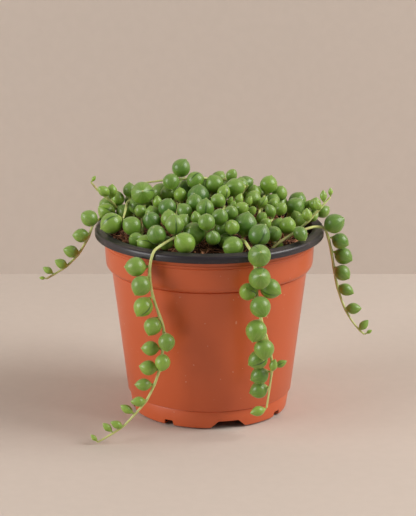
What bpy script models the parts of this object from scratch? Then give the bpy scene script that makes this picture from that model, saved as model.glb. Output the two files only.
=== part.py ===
"""A string of pearls plant in a two-tone plastic nursery pot, modelled at real size.

Sizes are in millimetres until a mesh is made. +Z is up, +X is to the right, the front of the pot looks
along -Y, and the origin is the centre of the pot's foot, on the surface that it stands on.
"""

import math
import random

import bmesh
import bpy
import numpy as np
from mathutils import Matrix, Vector

MM = 0.001

# The pot is one thin sheet: the profile, from the inside of the turned lip down to the foot's flat
# middle, is its outer face, and the wall goes inwards from it.
WALL = 1.0
POT_SIDES = 32
LIP_RADIUS = 60.0
RIM_TOP = 98.0
LIP_DROP = 4.1
POT_PROFILE = [
    (LIP_RADIUS - WALL, RIM_TOP - LIP_DROP), (LIP_RADIUS - WALL, RIM_TOP - WALL), (55.0, RIM_TOP - WALL),
    (54.9, 92.5), (53.7, 81.0), (49.9, 75.2), (42.5, 9.0), (41.3, 8.6), (39.9, 0.0), (36.8, 0.0),
    (36.0, 4.6), (13.0, 4.6), (11.0, 0.0), (0.0, 0.0),
]

# Drain notches in the foot: eight round the pot, of which two opposite ones are large.
NOTCH_COUNT = 8
FIRST_NOTCH_DEG = 14.0
LARGE_NOTCH = (21.5, 10.5, 4.0)
SMALL_NOTCH = (4.6, 3.2, 2.5)
NOTCH_INNER_RADIUS = 34.5
NOTCH_OUTER_RADIUS = 44.0

# The soil fills the pot with a gap of about half a millimetre, and its top is a low uneven mound.
SOIL_SIDE = [(53.0, 88.5), (52.2, 82.0), (48.3, 76.0), (39.6, 10.6), (38.9, 6.1), (0.0, 6.1)]
SOIL_RINGS = [0.0, 13.0, 24.0, 34.0, 44.0]
SOIL_EDGE = 88.5
SOIL_MOUND = 14.0
SOIL_RADIUS = 53.0
HOLE_RADIUS = 1.05
HOLE_DEPTH = 7.0

# The plant.
STEM_RADIUS = 0.62
STEM_FIDELITY = 0.28
UNION_SOLVER = "MANIFOLD"
SMALL_PEARL = 3.2
PETIOLE = 1.3
POINT = 1.18
SWELL = 1.02
CLEAR = 0.45
NODE_STEP = 1.6
SETTLE_STEPS = 260
FREE_STEPS = 16
LEAST_PULL = 0.08
TRAIL_HOLD = 0.6
HEAP_HOLD = 0.25
SLIDE = 0.85
BEHIND = 0.7
HEAP_EDGE = 97.5
HEAP_RISE = 20.0
HEAP_RADIUS = 55.0
LIP_INNER = 53.9
LIP_OUTER = 60.0
HEAP_CREST = 13

# The front view that the plant's places are given in: across and up from the centre of the rim's top,
# as seen from the eye, this far in front of the pot and this high over the surface.
EYE = Vector((0.0, -1114.0, 392.0))
EYE_TILT = math.radians(15.63)
AHEAD = Vector((0.0, math.cos(EYE_TILT), -math.sin(EYE_TILT)))
UPWARD = Vector((0.0, math.sin(EYE_TILT), math.cos(EYE_TILT)))
SIDEWAYS = Vector((1.0, 0.0, 0.0))
RIM_CENTRE = Vector((0.0, 0.0, RIM_TOP))

# The strands: pearls on the heap, then a run of stem, then the pearls on that run.
# A pearl is (across, up, diameter, hour, behind). The hour is where its point turns on a clock face,
# 0 is towards the eye and None is outwards from the heap. A point of a run is (across, up, depth).
OUT = None
STRANDS = {
    "left_trail": {
        "heap": [(-52.5, 12.7, 9.2, 1, 1), (-55, 8.7, 9.0, 10, 0)],
        "run": [(-57, 3, 1), (-59.4, 1.6, 0), (-61, -0.2, -0.5), (-62, -3, -1), (-63, -6, -2),
                (-64.4, -9.5, -3), (-66.2, -13.3, -4), (-68.6, -16, -5), (-73.9, -21.5, -7),
                (-77, -23.6, -8), (-80.3, -25.3, -9), (-83.8, -27.9, -10), (-85.6, -28.3, -10.5)],
        "trail": [(-62.6, 3.7, 8.8, 10, 0), (-66.9, -5.2, 7.6, 9, 0), (-72.0, -13.7, 7.0, 9.5, 0),
                  (-76.9, -20.4, 5.8, 10, 0), (-84.5, -23.4, 4.3, 10, 0), (-87.4, -27.4, 2.3, 9, 0)],
    },
    "left_tip": {
        "heap": [(-47.5, 15, 7.5, 12, 1)],
        "run": [(-50, 11.4, 8), (-54, 13, 8), (-57, 15, 8), (-59.6, 17.6, 8), (-61.6, 20.6, 7.5),
                (-61.7, 22.6, 7)],
        "trail": [(-51, 18, 6.0, 12, 1), (-55.2, 18.6, 6.0, 10, 0), (-60.6, 24.4, 2.5, 1, 0)],
    },
    "front_left_trail": {
        "heap": [(-20.6, 4, 8.6, 12, 1), (-13.7, 2, 8.6, 1, 1), (-17, -0.4, 9.8, 12, 0)],
        "run": [(-15.2, -6.2, -40), (-20, -7, -45), (-24.5, -9.3, -49.5), (-28, -12, -52.5),
                (-30, -15, -53.4), (-31.7, -20, -53.9), (-32.2, -25, -54), (-31.4, -29.5, -54.2),
                (-30.2, -34, -54.3), (-28.6, -40.5, -54.5), (-26, -47, -54.8), (-24, -51, -55),
                (-23.6, -56, -55.2), (-23.2, -62, -55.5), (-23.6, -68.5, -56), (-25.2, -76.5, -56.8),
                (-28.2, -84, -57.6), (-31.2, -91, -58.5), (-36.5, -96.5, -59.5), (-43.4, -104.5, -61),
                (-50, -109.3, -62), (-56.5, -113.2, -63), (-58.7, -114, -63)],
        "trail": [(-38.4, -21.5, 9.8, 9, 0), (-36.2, -31.7, 9.8, 7, 0), (-35, -42.7, 9.8, 7, 0),
                  (-29.6, -52.6, 8.8, 6.6, 0), (-22.2, -61.4, 8.6, 6, 0), (-31.6, -64.2, 7.8, 9, 0),
                  (-24.4, -71.5, 8.0, 6.4, 0), (-32, -74.5, 7.8, 9.4, 0), (-34.6, -83.3, 6.9, 9, 0),
                  (-36.7, -92.2, 6.0, 9, 0), (-43.4, -96, 5.2, 10, 0), (-47.6, -104.6, 5.0, 10, 0),
                  (-53.6, -105.6, 4.4, 10.5, 0), (-60.4, -111.2, 3.2, 10.5, 0)],
    },
    "front_right_trail": {
        "heap": [(18.8, 1.2, 11.4, 12.4, 0)],
        "run": [(17.2, -7, -47), (19.6, -10, -51.5), (21, -13, -55), (22.2, -16.5, -57.4),
                (23.4, -21, -58), (24.4, -27, -58.2), (25.3, -33.5, -58.2), (25.8, -41, -58.2),
                (26.4, -48, -58), (28, -52, -58), (30.3, -57, -57.8), (32.2, -62.5, -57.5),
                (33.2, -67.5, -57.2), (34.2, -71, -57), (33.8, -76.3, -56.8), (32.6, -80.5, -56.5),
                (31.6, -86.5, -56.2), (30.8, -92.5, -56), (30.2, -95.4, -56)],
        "trail": [(26.6, -15.8, 11.4, 0, 0), (26.4, -27.5, 11.0, 0, 0), (31.8, -32.8, 10.2, 4, 1),
                  (19.8, -34.6, 8.6, 0, 0), (26.4, -42.2, 10.4, 5, 0), (24.3, -55.8, 10.8, 6.6, 0),
                  (28.3, -65, 10.0, 6, 0), (25.2, -70.4, 9.6, 8, 1), (33.6, -73, 5.0, 12.5, 0),
                  (38.2, -72.2, 4.6, 2, 0), (25.9, -78.4, 8.8, 8, 0), (25.7, -86, 8.6, 8.4, 0),
                  (25.5, -97.2, 6.0, 8.6, 0)],
    },
    "right_trail": {
        "heap": [],
        "run": [(36, -8, -38), (40.5, -6.2, -34), (46, -3.8, -27), (50, -2, -20), (53, -1, -12),
                (54.8, 1.8, -8), (57, 0.9, -7), (59.6, -0.9, -6.5), (61.3, -4, -6), (62.9, -9.4, -6),
                (64.2, -14.3, -6), (64.6, -20, -6.2), (65.1, -27, -6.5), (66.4, -31.5, -7),
                (68.1, -38.2, -7.5), (70.2, -42.8, -8), (72.7, -48.7, -8.5), (75.5, -54, -9),
                (78.3, -55.7, -9.3), (80.8, -57.3, -9.5)],
        "trail": [(47.6, -6.2, 7.6, 5, 0), (64.6, 0.6, 10.4, 2, 0), (68.6, -8, 8.4, 4, 0),
                  (70.4, -16, 9.0, 4, 0), (69.6, -24.6, 8.2, 4.4, 0), (71.4, -33.4, 7.0, 4, 0),
                  (75, -43.4, 6.6, 3, 0), (80.4, -52.4, 5.2, 1.5, 0), (83.6, -55.6, 2.4, 2, 0)],
    },
    "right_tip": {
        "heap": [(46, 4.4, 6.6, 11, 1), (47.4, 0.8, 6.6, 1.5, 0)],
        "run": [(50, 0, -16), (52.5, 3, -14), (55, 6, -12), (57.5, 8.6, -10), (60, 11, -8.5),
                (62, 13.4, -7.5), (63.2, 15, -7)],
        "trail": [(51, 5.4, 5.8, 12, 0), (56.7, 10.4, 4.8, 11, 0), (59.6, 15.4, 4.4, 12, 0),
                  (63.4, 17.6, 3.0, 12, 0)],
    },
    "crown": {
        "heap": [(19.4, 22.4, 8.7, 2, 1), (11.8, 26, 6.2, 1, 0), (4.6, 23.6, 8.0, 1, 1)],
        "run": [(0, 25, 14), (-4, 25.2, 14), (-8, 24.6, 14), (-13, 24, 14), (-18, 23.6, 13.5),
                (-24, 23.4, 12), (-29, 23, 11), (-34, 22.4, 10)],
        "trail": [(-8, 23.5, 9.3, 7.6, 0), (-14.8, 30, 9.6, 1, 0), (-19.4, 22.4, 8.6, 6, 0)],
    },
    "left_shoulder": {"heap": [(-42, 19.8, 7.2, 12, 1), (-42, 13.4, 6.0, OUT, 1),
                               (-44.6, 7.6, 9.0, OUT, 1), (-50.7, 0, 11.0, 8, 0)]},
    "left_front": {"heap": [(-35, 16.2, 12.0, 0, 0), (-35.7, 7.3, 6.8, OUT, 0),
                            (-40, -0.6, 9.8, OUT, 0), (-38.8, -7.6, 7.6, OUT, 0)]},
    "left_middle": {"heap": [(-26, 16.8, 10.0, 3, 0.7), (-27, 13, 5.5, OUT, 0), (-30, 6.2, 7.5, OUT, 1),
                             (-30.5, 1.2, 9.6, OUT, 1), (-28, -4.2, 9.8, OUT, 0),
                             (-32.6, -9.8, 9.8, 10, 0)]},
    "inner_left": {"heap": [(-15, 17.4, 7.0, OUT, 1), (-21.5, 17.2, 8.5, OUT, 1),
                            (-22.6, 8.8, 9.5, 1, 0.6), (-13.6, 7.2, 8.0, 11, 0)]},
    "centre_left": {"heap": [(-6, 15.2, 11.5, OUT, 1), (-8, 11.6, 9.0, 12, 0), (-2, 8.8, 9.4, 12, 0),
                             (-1.4, 3.4, 8.6, 12, 0), (-8, 2.6, 6.0, 12, 1), (-7.2, -5.4, 11.4, OUT, 0.5),
                             (-15.3, -12.6, 10.8, 11, 0), (-23.5, -11, 7.6, OUT, 1)]},
    "centre_right": {"heap": [(2.9, 21.6, 9.4, 11, 0), (7.6, 17.2, 7.0, OUT, 1), (4.8, 13.2, 7.5, 9.5, 0),
                              (6, 4.6, 8.6, OUT, 0), (4.6, -3.4, 8.0, OUT, 1.3), (1.4, -5.8, 7.6, OUT, 0.6),
                              (7.6, -9.8, 8.0, OUT, 1.3), (12.6, -11.6, 10.4, 9, 0)]},
    "inner_right": {"heap": [(16.6, 21, 7.6, OUT, 0), (13.3, 19.6, 9.8, 9, 0), (10.8, 13, 3.6, OUT, 0),
                             (12.4, 10.2, 4.6, OUT, 0), (11.4, 6.4, 7.6, OUT, 0),
                             (11.4, -1.8, 7.8, OUT, 0)]},
    "small_middle": {"heap": [(22.8, 14, 8.0, OUT, 1), (20.8, 12.7, 4.6, OUT, 0), (15.2, 13.6, 5.0, OUT, 0),
                              (16.3, 8.8, 7.0, 2, 0), (23.4, 8.4, 5.2, OUT, 0)]},
    "right_middle": {"heap": [(31.9, 22.4, 9.2, 12.5, 0), (29.8, 16, 6.6, OUT, 0),
                              (27.8, 12.2, 5.4, OUT, 0), (27, 3.8, 6.0, OUT, 1), (29.4, 0.6, 6.4, OUT, 1),
                              (26, -5.2, 11.2, 1, 0)]},
    "right_front": {"heap": [(36.6, 16.8, 8.0, OUT, 0), (33, 12.6, 6.2, OUT, 0), (32.2, 7.6, 6.2, 11, 0),
                             (37.8, 8.8, 6.6, 1, 0), (36, 0, 7.6, OUT, 1), (33.8, -4.8, 8.0, OUT, 0),
                             (36.3, -10.8, 4.6, OUT, 0)]},
    "right_shoulder": {"heap": [(47, 15, 9.4, 1, 1), (44.6, 9.6, 10.0, OUT, 0),
                                (40.8, -0.2, 8.6, 12.5, 0)]},
    "right_edge": {"heap": [(55.4, 13.2, 6.6, 12.5, 0), (51, 10.6, 4.6, OUT, 0), (54.4, 7.4, 4.6, OUT, 0),
                            (59, 6.6, 6.8, OUT, 1), (56.2, 4.2, 4.8, OUT, 0)]},
}

# The back of the heap isn't seen from the front: strands fan out there by rule, one over the rim.
FAN_COUNT = 9
FAN_FIRST_DEG = 12.0
FAN_LAST_DEG = 168.0
FAN_RADII = [17.0, 25.5, 33.5, 41.5, 49.0]
FAN_SWAY = 3.4
CROWDED = 0.6
HIDING = 0.6
BACK_RUN = [(9.0, 57.5, 101.5), (9.6, 61.0, 99.0), (10.0, 62.6, 94.0), (9.0, 62.8, 86.0),
            (10.5, 62.2, 78.0), (9.0, 61.5, 70.0), (10.0, 61.5, 62.0), (9.4, 61.8, 55.0)]
BACK_DROP = [(93.0, 9.6), (84.5, 9.2), (76.0, 9.0), (68.5, 8.0), (61.5, 6.6), (55.5, 4.8)]


def seen(across, up, depth):
    """Gives the point at a depth along Y on the sight line of a front-view place."""
    line = RIM_CENTRE + SIDEWAYS * across + UPWARD * up - EYE
    return EYE + line * ((depth - EYE.y) / line.y)


def place_of(point):
    """Gives the front-view place of a point."""
    line = point - EYE
    line = line * ((RIM_CENTRE - EYE).dot(AHEAD) / line.dot(AHEAD)) + EYE - RIM_CENTRE
    return line.x, line.dot(UPWARD)


def heap_height(x, y):
    """Gives the height of the heap's middle layer of pearls over a place."""
    return HEAP_EDGE + HEAP_RISE * (1 - (x * x + y * y) / HEAP_RADIUS ** 2)


def soil_height(x, y):
    """Gives the height of the soil over a place, for numbers or arrays."""
    bumps = 0.8 * np.sin(x * 0.21 + 1.0) * np.sin(y * 0.19 + 0.4)
    return SOIL_EDGE + SOIL_MOUND * (1 - (x * x + y * y) / SOIL_RADIUS ** 2) + bumps


def heap_depth(across, up, room):
    """Finds where a sight line first meets the heap clear of the lip, or passes closest over it."""
    least, found = math.inf, 0
    for depth in range(-58, HEAP_CREST):
        point = seen(across, up, depth)
        if LIP_INNER - room < point.xy.length < LIP_OUTER + room and point.z < RIM_TOP + room:
            continue
        over = point.z - heap_height(point.x, point.y)
        if over <= 0:
            return depth
        if over < least:
            least, found = over, depth
    return found


def clock(hour, point, rng):
    """Gives the way a pearl's point turns: by its clock hour, or outwards from the heap."""
    if hour is OUT:
        lean = Vector((point.x / 60, point.y / 60, 1.0))
        return (lean + Vector((rng.uniform(-0.4, 0.4), rng.uniform(-0.4, 0.4), 0))).normalized()
    if hour == 0:
        return (UPWARD * 0.25 - AHEAD).normalized()
    turn = math.radians(30 * hour)
    return (SIDEWAYS * math.sin(turn) + UPWARD * math.cos(turn) - AHEAD * 0.3).normalized()


def over_soil(point, size, way):
    """Tilts the way of a pearl's stalk so that its foot stands on the soil and not in it."""
    foot = point - way * (size / 2 + PETIOLE)
    ground = float(soil_height(foot.x, foot.y)) + STEM_RADIUS + CLEAR + 0.4
    if foot.xy.length < SOIL_RADIUS and foot.z < ground:
        foot.z = ground
        return (point - foot).normalized()
    return way


def shortest_order(start, points, end):
    """Orders points into a short path from the start to the end, by swapping runs of them."""
    order = sorted(range(len(points)), key=lambda k: (points[k] - start).length)

    def cost(path):
        stops = [start] + [points[k] for k in path] + ([end] if end else [])
        return sum((b - a).length for a, b in zip(stops, stops[1:]))

    better = True
    while better:
        better = False
        for i in range(len(order)):
            for j in range(i + 1, len(order)):
                trial = order[:i] + order[i:j + 1][::-1] + order[j + 1:]
                if cost(trial) < cost(order) - 1e-6:
                    order, better = trial, True
    return order


def smooth_line(points, step):
    """Runs a smooth curve through points and gives it back as even short steps."""
    knots = [points[0] * 2 - points[1]] + points + [points[-1] * 2 - points[-2]]
    fine = []
    for a, b, c, d in zip(knots, knots[1:], knots[2:], knots[3:]):
        for k in range(12):
            t = k / 12
            fine.append(0.5 * (2 * b + (c - a) * t + (2 * a - 5 * b + 4 * c - d) * t * t
                               + (3 * b - a - 3 * c + d) * t ** 3))
    fine.append(points[-1])
    length = sum((b - a).length for a, b in zip(fine, fine[1:]))
    count = max(2, round(length / step))
    line, walked, target = [fine[0]], 0.0, length / count
    for a, b in zip(fine, fine[1:]):
        part = (b - a).length
        while part and walked + part >= target * len(line) and len(line) < count:
            line.append(a.lerp(b, (target * len(line) - walked) / part))
        walked += part
    return line + [fine[-1]]


def in_the_way(pearl, other):
    """Tells if a pearl of the back would lie in a pearl of the front, or stand before it in the view."""
    (point, size, _), (spot, width, _) = pearl, other
    reach = (size + width) / 2
    before = (point - EYE).dot(AHEAD) < (spot - EYE).dot(AHEAD)
    return (point - spot).length < CROWDED * reach or (
        before and math.dist(place_of(point), place_of(spot)) < HIDING * reach)


def back_strands(front):
    """Makes the fan of strands on the back of the heap, as pearls (point, diameter, direction)."""
    rng = random.Random(7)
    taken = [pearl for strand in front.values() for pearl in strand["pearls"]]
    fans = {}
    for k in range(FAN_COUNT):
        angle = math.radians(FAN_FIRST_DEG + (FAN_LAST_DEG - FAN_FIRST_DEG) * k / (FAN_COUNT - 1))
        along = Vector((math.cos(angle), math.sin(angle), 0))
        across = Vector((-along.y, along.x, 0))
        pearls = []
        for row, radius in enumerate(FAN_RADII[k % 2:]):
            sway = FAN_SWAY * (-1) ** (row + k) * rng.uniform(0.7, 1.1)
            point = along * (radius + rng.uniform(-1.5, 1.5)) + across * sway
            point.z = heap_height(point.x, point.y) + rng.uniform(-1.5, 1.5)
            pearl = (point, rng.uniform(7.0, 10.5), clock(OUT, point, rng))
            if not any(in_the_way(pearl, other) for other in taken):
                pearls.append(pearl)
        fans[f"back_{k + 1}"] = {"pearls": pearls, "run": [], "run_pearls": []}
    run = [Vector(point) for point in BACK_RUN]
    hung = []
    for k, (height, size) in enumerate(BACK_DROP):
        side = (-1) ** k
        lean = Vector((side, 0.5, -0.35)).normalized()
        hung.append((Vector((9.6 + side * (size / 2 + 0.9), 63.6, height)), size, lean))
    fans["back_5"]["run"] = run
    fans["back_5"]["run_pearls"] = hung
    return fans


def front_strands():
    """Turns the front-view places of the strands into points, sizes and directions."""
    rng = random.Random(3)
    strands = {}
    for name, seen_parts in STRANDS.items():
        pearls = []
        for across, up, size, hour, behind in seen_parts["heap"]:
            depth = heap_depth(across, up, size / 2 * SWELL + CLEAR) + behind * BEHIND * size
            point = seen(across, up, depth)
            pearls.append((point, size, over_soil(point, size, clock(hour, point, rng))))
        run = [seen(*place) for place in seen_parts.get("run", [])]
        hung = []
        for across, up, size, hour, behind in seen_parts.get("trail", []):
            near = min(run, key=lambda p: math.dist(place_of(p), (across, up)))
            reach = size / 2 + PETIOLE
            off = math.dist(place_of(near), (across, up))
            depth = math.sqrt(max(0.0, reach ** 2 - off ** 2)) * (1 if behind else -1)
            point = seen(across, up, near.y + depth)
            hung.append((point, size, clock(hour, point, rng)))
        strands[name] = {"pearls": pearls, "run": run, "run_pearls": hung}
    return strands


def lay_out():
    """Lays every strand out, then settles them clear of each other, the soil and the pot."""
    front = front_strands()
    strands = {**front, **back_strands(front)}
    centres, radii, ways, reach = [], [], [], []
    owner, anchor, homes, firm = [], [], [], []
    nodes, node_owner, node_home, node_firm, chains = [], [], [], [], {}
    roots = []
    for index, (name, strand) in enumerate(strands.items()):
        heap = strand["pearls"]
        stops = [p - way * (size / 2 + PETIOLE) for p, size, way in heap]
        start = sum((Vector(p) for p in stops), Vector()) / len(stops) if stops else strand["run"][0] * 0.93
        if strand["run"] and stops:
            start = min(stops, key=lambda p: p.xy.length) * 0.94
        flat = Vector((start.x, start.y, 0))
        if flat.length > 46:
            flat = flat * (46 / flat.length)
        for other in roots:
            if (flat - other).length < 4.2:
                flat += (flat - other).normalized() * (4.4 - (flat - other).length)
        roots.append(flat)
        top = Vector((flat.x, flat.y, float(soil_height(flat.x, flat.y)) + 0.6))
        end = strand["run"][0] if strand["run"] else None
        order = shortest_order(top, stops, end)
        heap = [heap[k] for k in order]
        knots = [top, top + Vector((0, 0, 1.6))] + [stops[k] for k in order] + strand["run"]
        line = smooth_line(knots, NODE_STEP)
        first = len(nodes)
        chains[name] = (first, len(line), flat)
        run_from = first + len(line)
        if strand["run"]:
            run_from = first + min(range(len(line)), key=lambda k: (line[k] - end).length)
        for k, point in enumerate(line):
            nodes.append(point)
            node_owner.append(index)
            node_home.append(first + k >= run_from)
            node_firm.append(k < 2)
        used = set()
        for p, size, way in heap + strand["run_pearls"]:
            aim = p - way * (size / 2 + PETIOLE)
            free = [k for k in range(2, len(line)) if k not in used]
            near = min(free, key=lambda k: (line[k] - aim).length)
            used.update((near - 1, near, near + 1) if size > 5 else (near,))
            centres.append(p)
            radii.append(size / 2)
            ways.append(way)
            owner.append(index)
            anchor.append(first + near)
    return settle(strands, centres, radii, ways, owner, anchor, nodes, node_owner, node_home,
                  node_firm, chains)


def push_from_pot(points, room):
    """Moves points out of the pot's wall and lip, in the plane through the pot's axis."""
    outline = np.array([
        (0, -9), (39.9, -9), (41.3, 8.8), (42.6, 9.0), (50.0, 75.2), (53.8, 81), (55.0, 92.6),
        (55.2, 93.9), (60.05, 93.8), (60.05, 98.05), (53.9, 98.05), (53.9, 85), (0, 85),
    ])
    radial = np.hypot(points[:, 0], points[:, 1])
    flat = np.stack([radial, points[:, 2]], axis=1)
    best = np.full(len(flat), np.inf)
    nearest = np.zeros_like(flat)
    inside = np.zeros(len(flat), dtype=bool)
    for a, b in zip(outline, np.roll(outline, -1, axis=0)):
        run = b - a
        t = np.clip(((flat - a) @ run) / (run @ run), 0, 1)
        foot = a + t[:, None] * run
        away = np.hypot(*(flat - foot).T)
        closer = away < best
        best[closer] = away[closer]
        nearest[closer] = foot[closer]
        crosses = (a[1] > flat[:, 1]) != (b[1] > flat[:, 1])
        edge = a[0] + (flat[:, 1] - a[1]) / ((b[1] - a[1]) or 1e-9) * run[0]
        inside ^= crosses & (flat[:, 0] < edge)
    signed = np.where(inside, -best, best)
    short = np.maximum(0, room - signed)
    out = flat - nearest
    size = np.maximum(np.hypot(*out.T), 1e-6)
    out = out / size[:, None] * np.where(inside, -1, 1)[:, None]
    move = out * short[:, None]
    turn = points[:, :2] / np.maximum(radial, 1e-6)[:, None]
    return np.concatenate([turn * move[:, :1], move[:, 1:]], axis=1)


def eased(way, sight, weight, slide):
    """Scales a push by a point's weight, and lets a pearl slide more easily along its sight line."""
    along = (way * sight).sum(axis=1)[:, None] * sight
    return weight[:, None] * (way * (1 - slide)[:, None] + along * (slide * 2)[:, None])


def settle(strands, centres, radii, ways, owner, anchor, nodes, node_owner, node_home, node_firm, chains):
    """Relaxes pearls and stems until all strands stand clear, and gives them back per strand."""
    pearls = len(centres)
    place = np.array([tuple(p) for p in centres + nodes])
    home = place.copy()
    size = np.concatenate([np.array(radii) * SWELL, np.full(len(nodes), STEM_RADIUS)])
    who = np.array(owner + node_owner)
    is_node = np.arange(len(place)) >= pearls
    weight = np.where(is_node, 1.0, 0.35)
    weight[pearls:][np.array(node_firm)] = 0.0
    firmness = [TRAIL_HOLD if p.y < -38 else HEAP_HOLD for p in centres]
    hold = np.concatenate([np.array(firmness), np.where(np.array(node_home), 0.22, 0.01)])
    anchors = np.array(anchor) + pearls
    way = np.array([tuple(w) for w in ways])
    reach = np.array(radii) + PETIOLE
    links = np.array([(pearls + first + k, pearls + first + k + 1)
                      for first, count, _ in chains.values() for k in range(count - 1)])
    rest = np.hypot.reduce(place[links[:, 0]] - place[links[:, 1]], axis=1)
    middles = np.array([(pearls + first + k - 1, pearls + first + k, pearls + first + k + 1)
                        for first, count, _ in chains.values() for k in range(2, count - 1)])
    sight = place - np.array(tuple(EYE))
    sight /= np.linalg.norm(sight, axis=1)[:, None]
    slide = np.where(is_node, 0.0, SLIDE)
    for step in range(SETTLE_STEPS):
        ease = max(LEAST_PULL, 1 - step / (SETTLE_STEPS * 0.7))
        if step >= SETTLE_STEPS - FREE_STEPS:
            ease = 0.0
        off = home - place
        along = (off * sight).sum(axis=1)[:, None] * sight
        place += (off - 0.85 * along) * (hold * ease)[:, None] * (weight > 0)[:, None]
        low, mid, high = middles.T
        bend = (place[low] + place[high]) / 2 - place[mid]
        place[mid] += bend * 0.5 * (weight[mid] > 0)[:, None]
        a, b = links.T
        gap = place[b] - place[a]
        far = np.linalg.norm(gap, axis=1)
        share = weight[a] + weight[b] + 1e-9
        pull = gap / far[:, None] * ((far - rest) / share * 0.5)[:, None]
        np.add.at(place, a, pull * weight[a][:, None])
        np.add.at(place, b, -pull * weight[b][:, None])
        aim = place[:pearls] - way * reach[:, None]
        shift = (aim - place[anchors]) * 0.12 * max(ease, 0.15)
        place[anchors] += shift * weight[anchors][:, None]
        place[:pearls] -= shift * 0.1
        stalk = place[:pearls] - place[anchors]
        far = np.linalg.norm(stalk, axis=1)
        stray = np.clip(far, reach - 0.4, reach + 0.8) - far
        stalk = stalk / far[:, None] * (stray * 0.7)[:, None]
        place[:pearls] += stalk * 0.25
        place[anchors] -= stalk * 0.75 * weight[anchors][:, None]
        if step % 6 == 0:
            near = np.linalg.norm(place[:, None] - place[None], axis=2)
            first, second = np.nonzero(np.triu(near < size[:, None] + size[None] + 3.0, 1))
            same = who[first] == who[second]
            chain = is_node[first] & is_node[second]
            keep = ~(same & chain & (second - first < 4))
            stalked = same & ~is_node[first] & is_node[second]
            own = np.zeros(len(first), dtype=bool)
            own[stalked] = np.abs(anchors[first[stalked]] - second[stalked]) < 3
            keep &= ~own
            first, second, same, chain = first[keep], second[keep], same[keep], chain[keep]
            room = np.where(chain, 1.1, np.where(is_node[first] | is_node[second], CLEAR + 0.15, CLEAR))
            need = size[first] + size[second] + np.where(same, 0.3, room)
        for _ in range(3):
            gap = place[second] - place[first]
            far = np.maximum(np.linalg.norm(gap, axis=1), 1e-6)
            short = np.maximum(0, need - far)
            gap /= far[:, None]
            give_first = eased(gap, sight[first], weight[first], slide[first])
            give_second = eased(gap, sight[second], weight[second], slide[second])
            share = (gap * (give_first + give_second)).sum(axis=1) + 1e-9
            step_size = (short / share * 0.55)[:, None]
            np.add.at(place, second, give_second * step_size)
            np.add.at(place, first, -give_first * step_size)
        free = (weight > 0)[:, None]
        place += push_from_pot(place, size + CLEAR) * free
        ground = soil_height(place[:, 0], place[:, 1]) + size + CLEAR + 0.2
        inner = np.hypot(place[:, 0], place[:, 1]) < SOIL_RADIUS
        place[:, 2] += np.where(inner, np.maximum(0, ground - place[:, 2]), 0) * (weight > 0)
        place[:, 2] = np.maximum(place[:, 2], size + 0.05)
    result = {}
    for name in strands:
        first, count, flat = chains[name]
        line = [Vector(p) for p in place[pearls + first:pearls + first + count]]
        result[name] = {"root": flat, "line": line, "pearls": []}
    names = list(strands)
    for k in range(pearls):
        line = place[k] - place[anchors[k]]
        line /= np.linalg.norm(line)
        others = (who != owner[k]) | (~is_node & (np.arange(len(place)) != k))
        for point in (POINT, 1.1, 1.03):
            tip = place[k] + line * radii[k] * point
            room = np.linalg.norm(place[others] - tip, axis=1) - size[others]
            wall = np.abs(push_from_pot(tip[None], np.array([CLEAR]))).max()
            if room.min() > CLEAR and wall < 1e-6 and tip[2] > 0.05:
                break
        result[names[owner[k]]]["pearls"].append(
            (Vector(place[k]), radii[k], Vector(place[anchors[k]]), point))
    return result


def material(name, colour, roughness):
    """Makes a plain material of one colour."""
    made = bpy.data.materials.new(name)
    made.use_nodes = True
    shader = made.node_tree.nodes["Principled BSDF"]
    shader.inputs["Base Color"].default_value = (*colour, 1.0)
    shader.inputs["Roughness"].default_value = roughness
    shader.inputs["Metallic"].default_value = 0.0
    made.diffuse_color = (*colour, 1.0)
    return made


def turned(name, profile, sides):
    """Makes a turned shape from a profile of (radius, height) in millimetres, given from the top down."""
    mesh = bpy.data.meshes.new(name)
    mesh.from_pydata([(r * MM, 0, z * MM) for r, z in profile],
                     [(k, k + 1) for k in range(len(profile) - 1)], [])
    body = bpy.data.objects.new(name, mesh)
    spin = body.modifiers.new("spin", "SCREW")
    spin.axis = "Z"
    spin.steps = sides
    spin.render_steps = sides
    spin.use_merge_vertices = True
    spin.merge_threshold = 1e-5
    return body


def as_mesh(body, weld=False):
    """Replaces an object by a plain mesh object of what its modifiers or curve settings make of it."""
    graph = bpy.context.evaluated_depsgraph_get()
    mesh = bpy.data.meshes.new_from_object(body.evaluated_get(graph))
    if weld:
        bm = bmesh.new()
        bm.from_mesh(mesh)
        bmesh.ops.remove_doubles(bm, verts=bm.verts, dist=1e-6)
        bm.to_mesh(mesh)
        bm.free()
    made = bpy.data.objects.new(body.name, mesh)
    made.matrix_world = body.matrix_world
    for group in body.users_collection:
        group.objects.link(made)
    name = body.name
    bpy.data.objects.remove(body)
    made.name = name
    return made


def notch_cutter(name, base, top, tall):
    """Makes the cutter of one drain notch: a flat outline, extruded through the foot ring along +X."""
    curve = bpy.data.curves.new(name, "CURVE")
    curve.dimensions = "2D"
    curve.fill_mode = "BOTH"
    curve.extrude = (NOTCH_OUTER_RADIUS - NOTCH_INNER_RADIUS) / 2 * MM
    outline = [(-base / 2, -1), (base / 2, -1), (base / 2, 0.2), (top / 2, tall), (-top / 2, tall),
               (-base / 2, 0.2)]
    line = curve.splines.new("POLY")
    line.points.add(len(outline) - 1)
    for point, (across, up) in zip(line.points, outline):
        point.co = (across * MM, up * MM, 0, 1)
    line.use_cyclic_u = True
    body = bpy.data.objects.new(name, curve)
    out = Matrix.Translation(((NOTCH_OUTER_RADIUS + NOTCH_INNER_RADIUS) / 2 * MM, 0, 0))
    body.matrix_world = out @ Matrix(((0, 0, 1, 0), (1, 0, 0, 0), (0, 1, 0, 0), (0, 0, 0, 1)))
    return body


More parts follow.
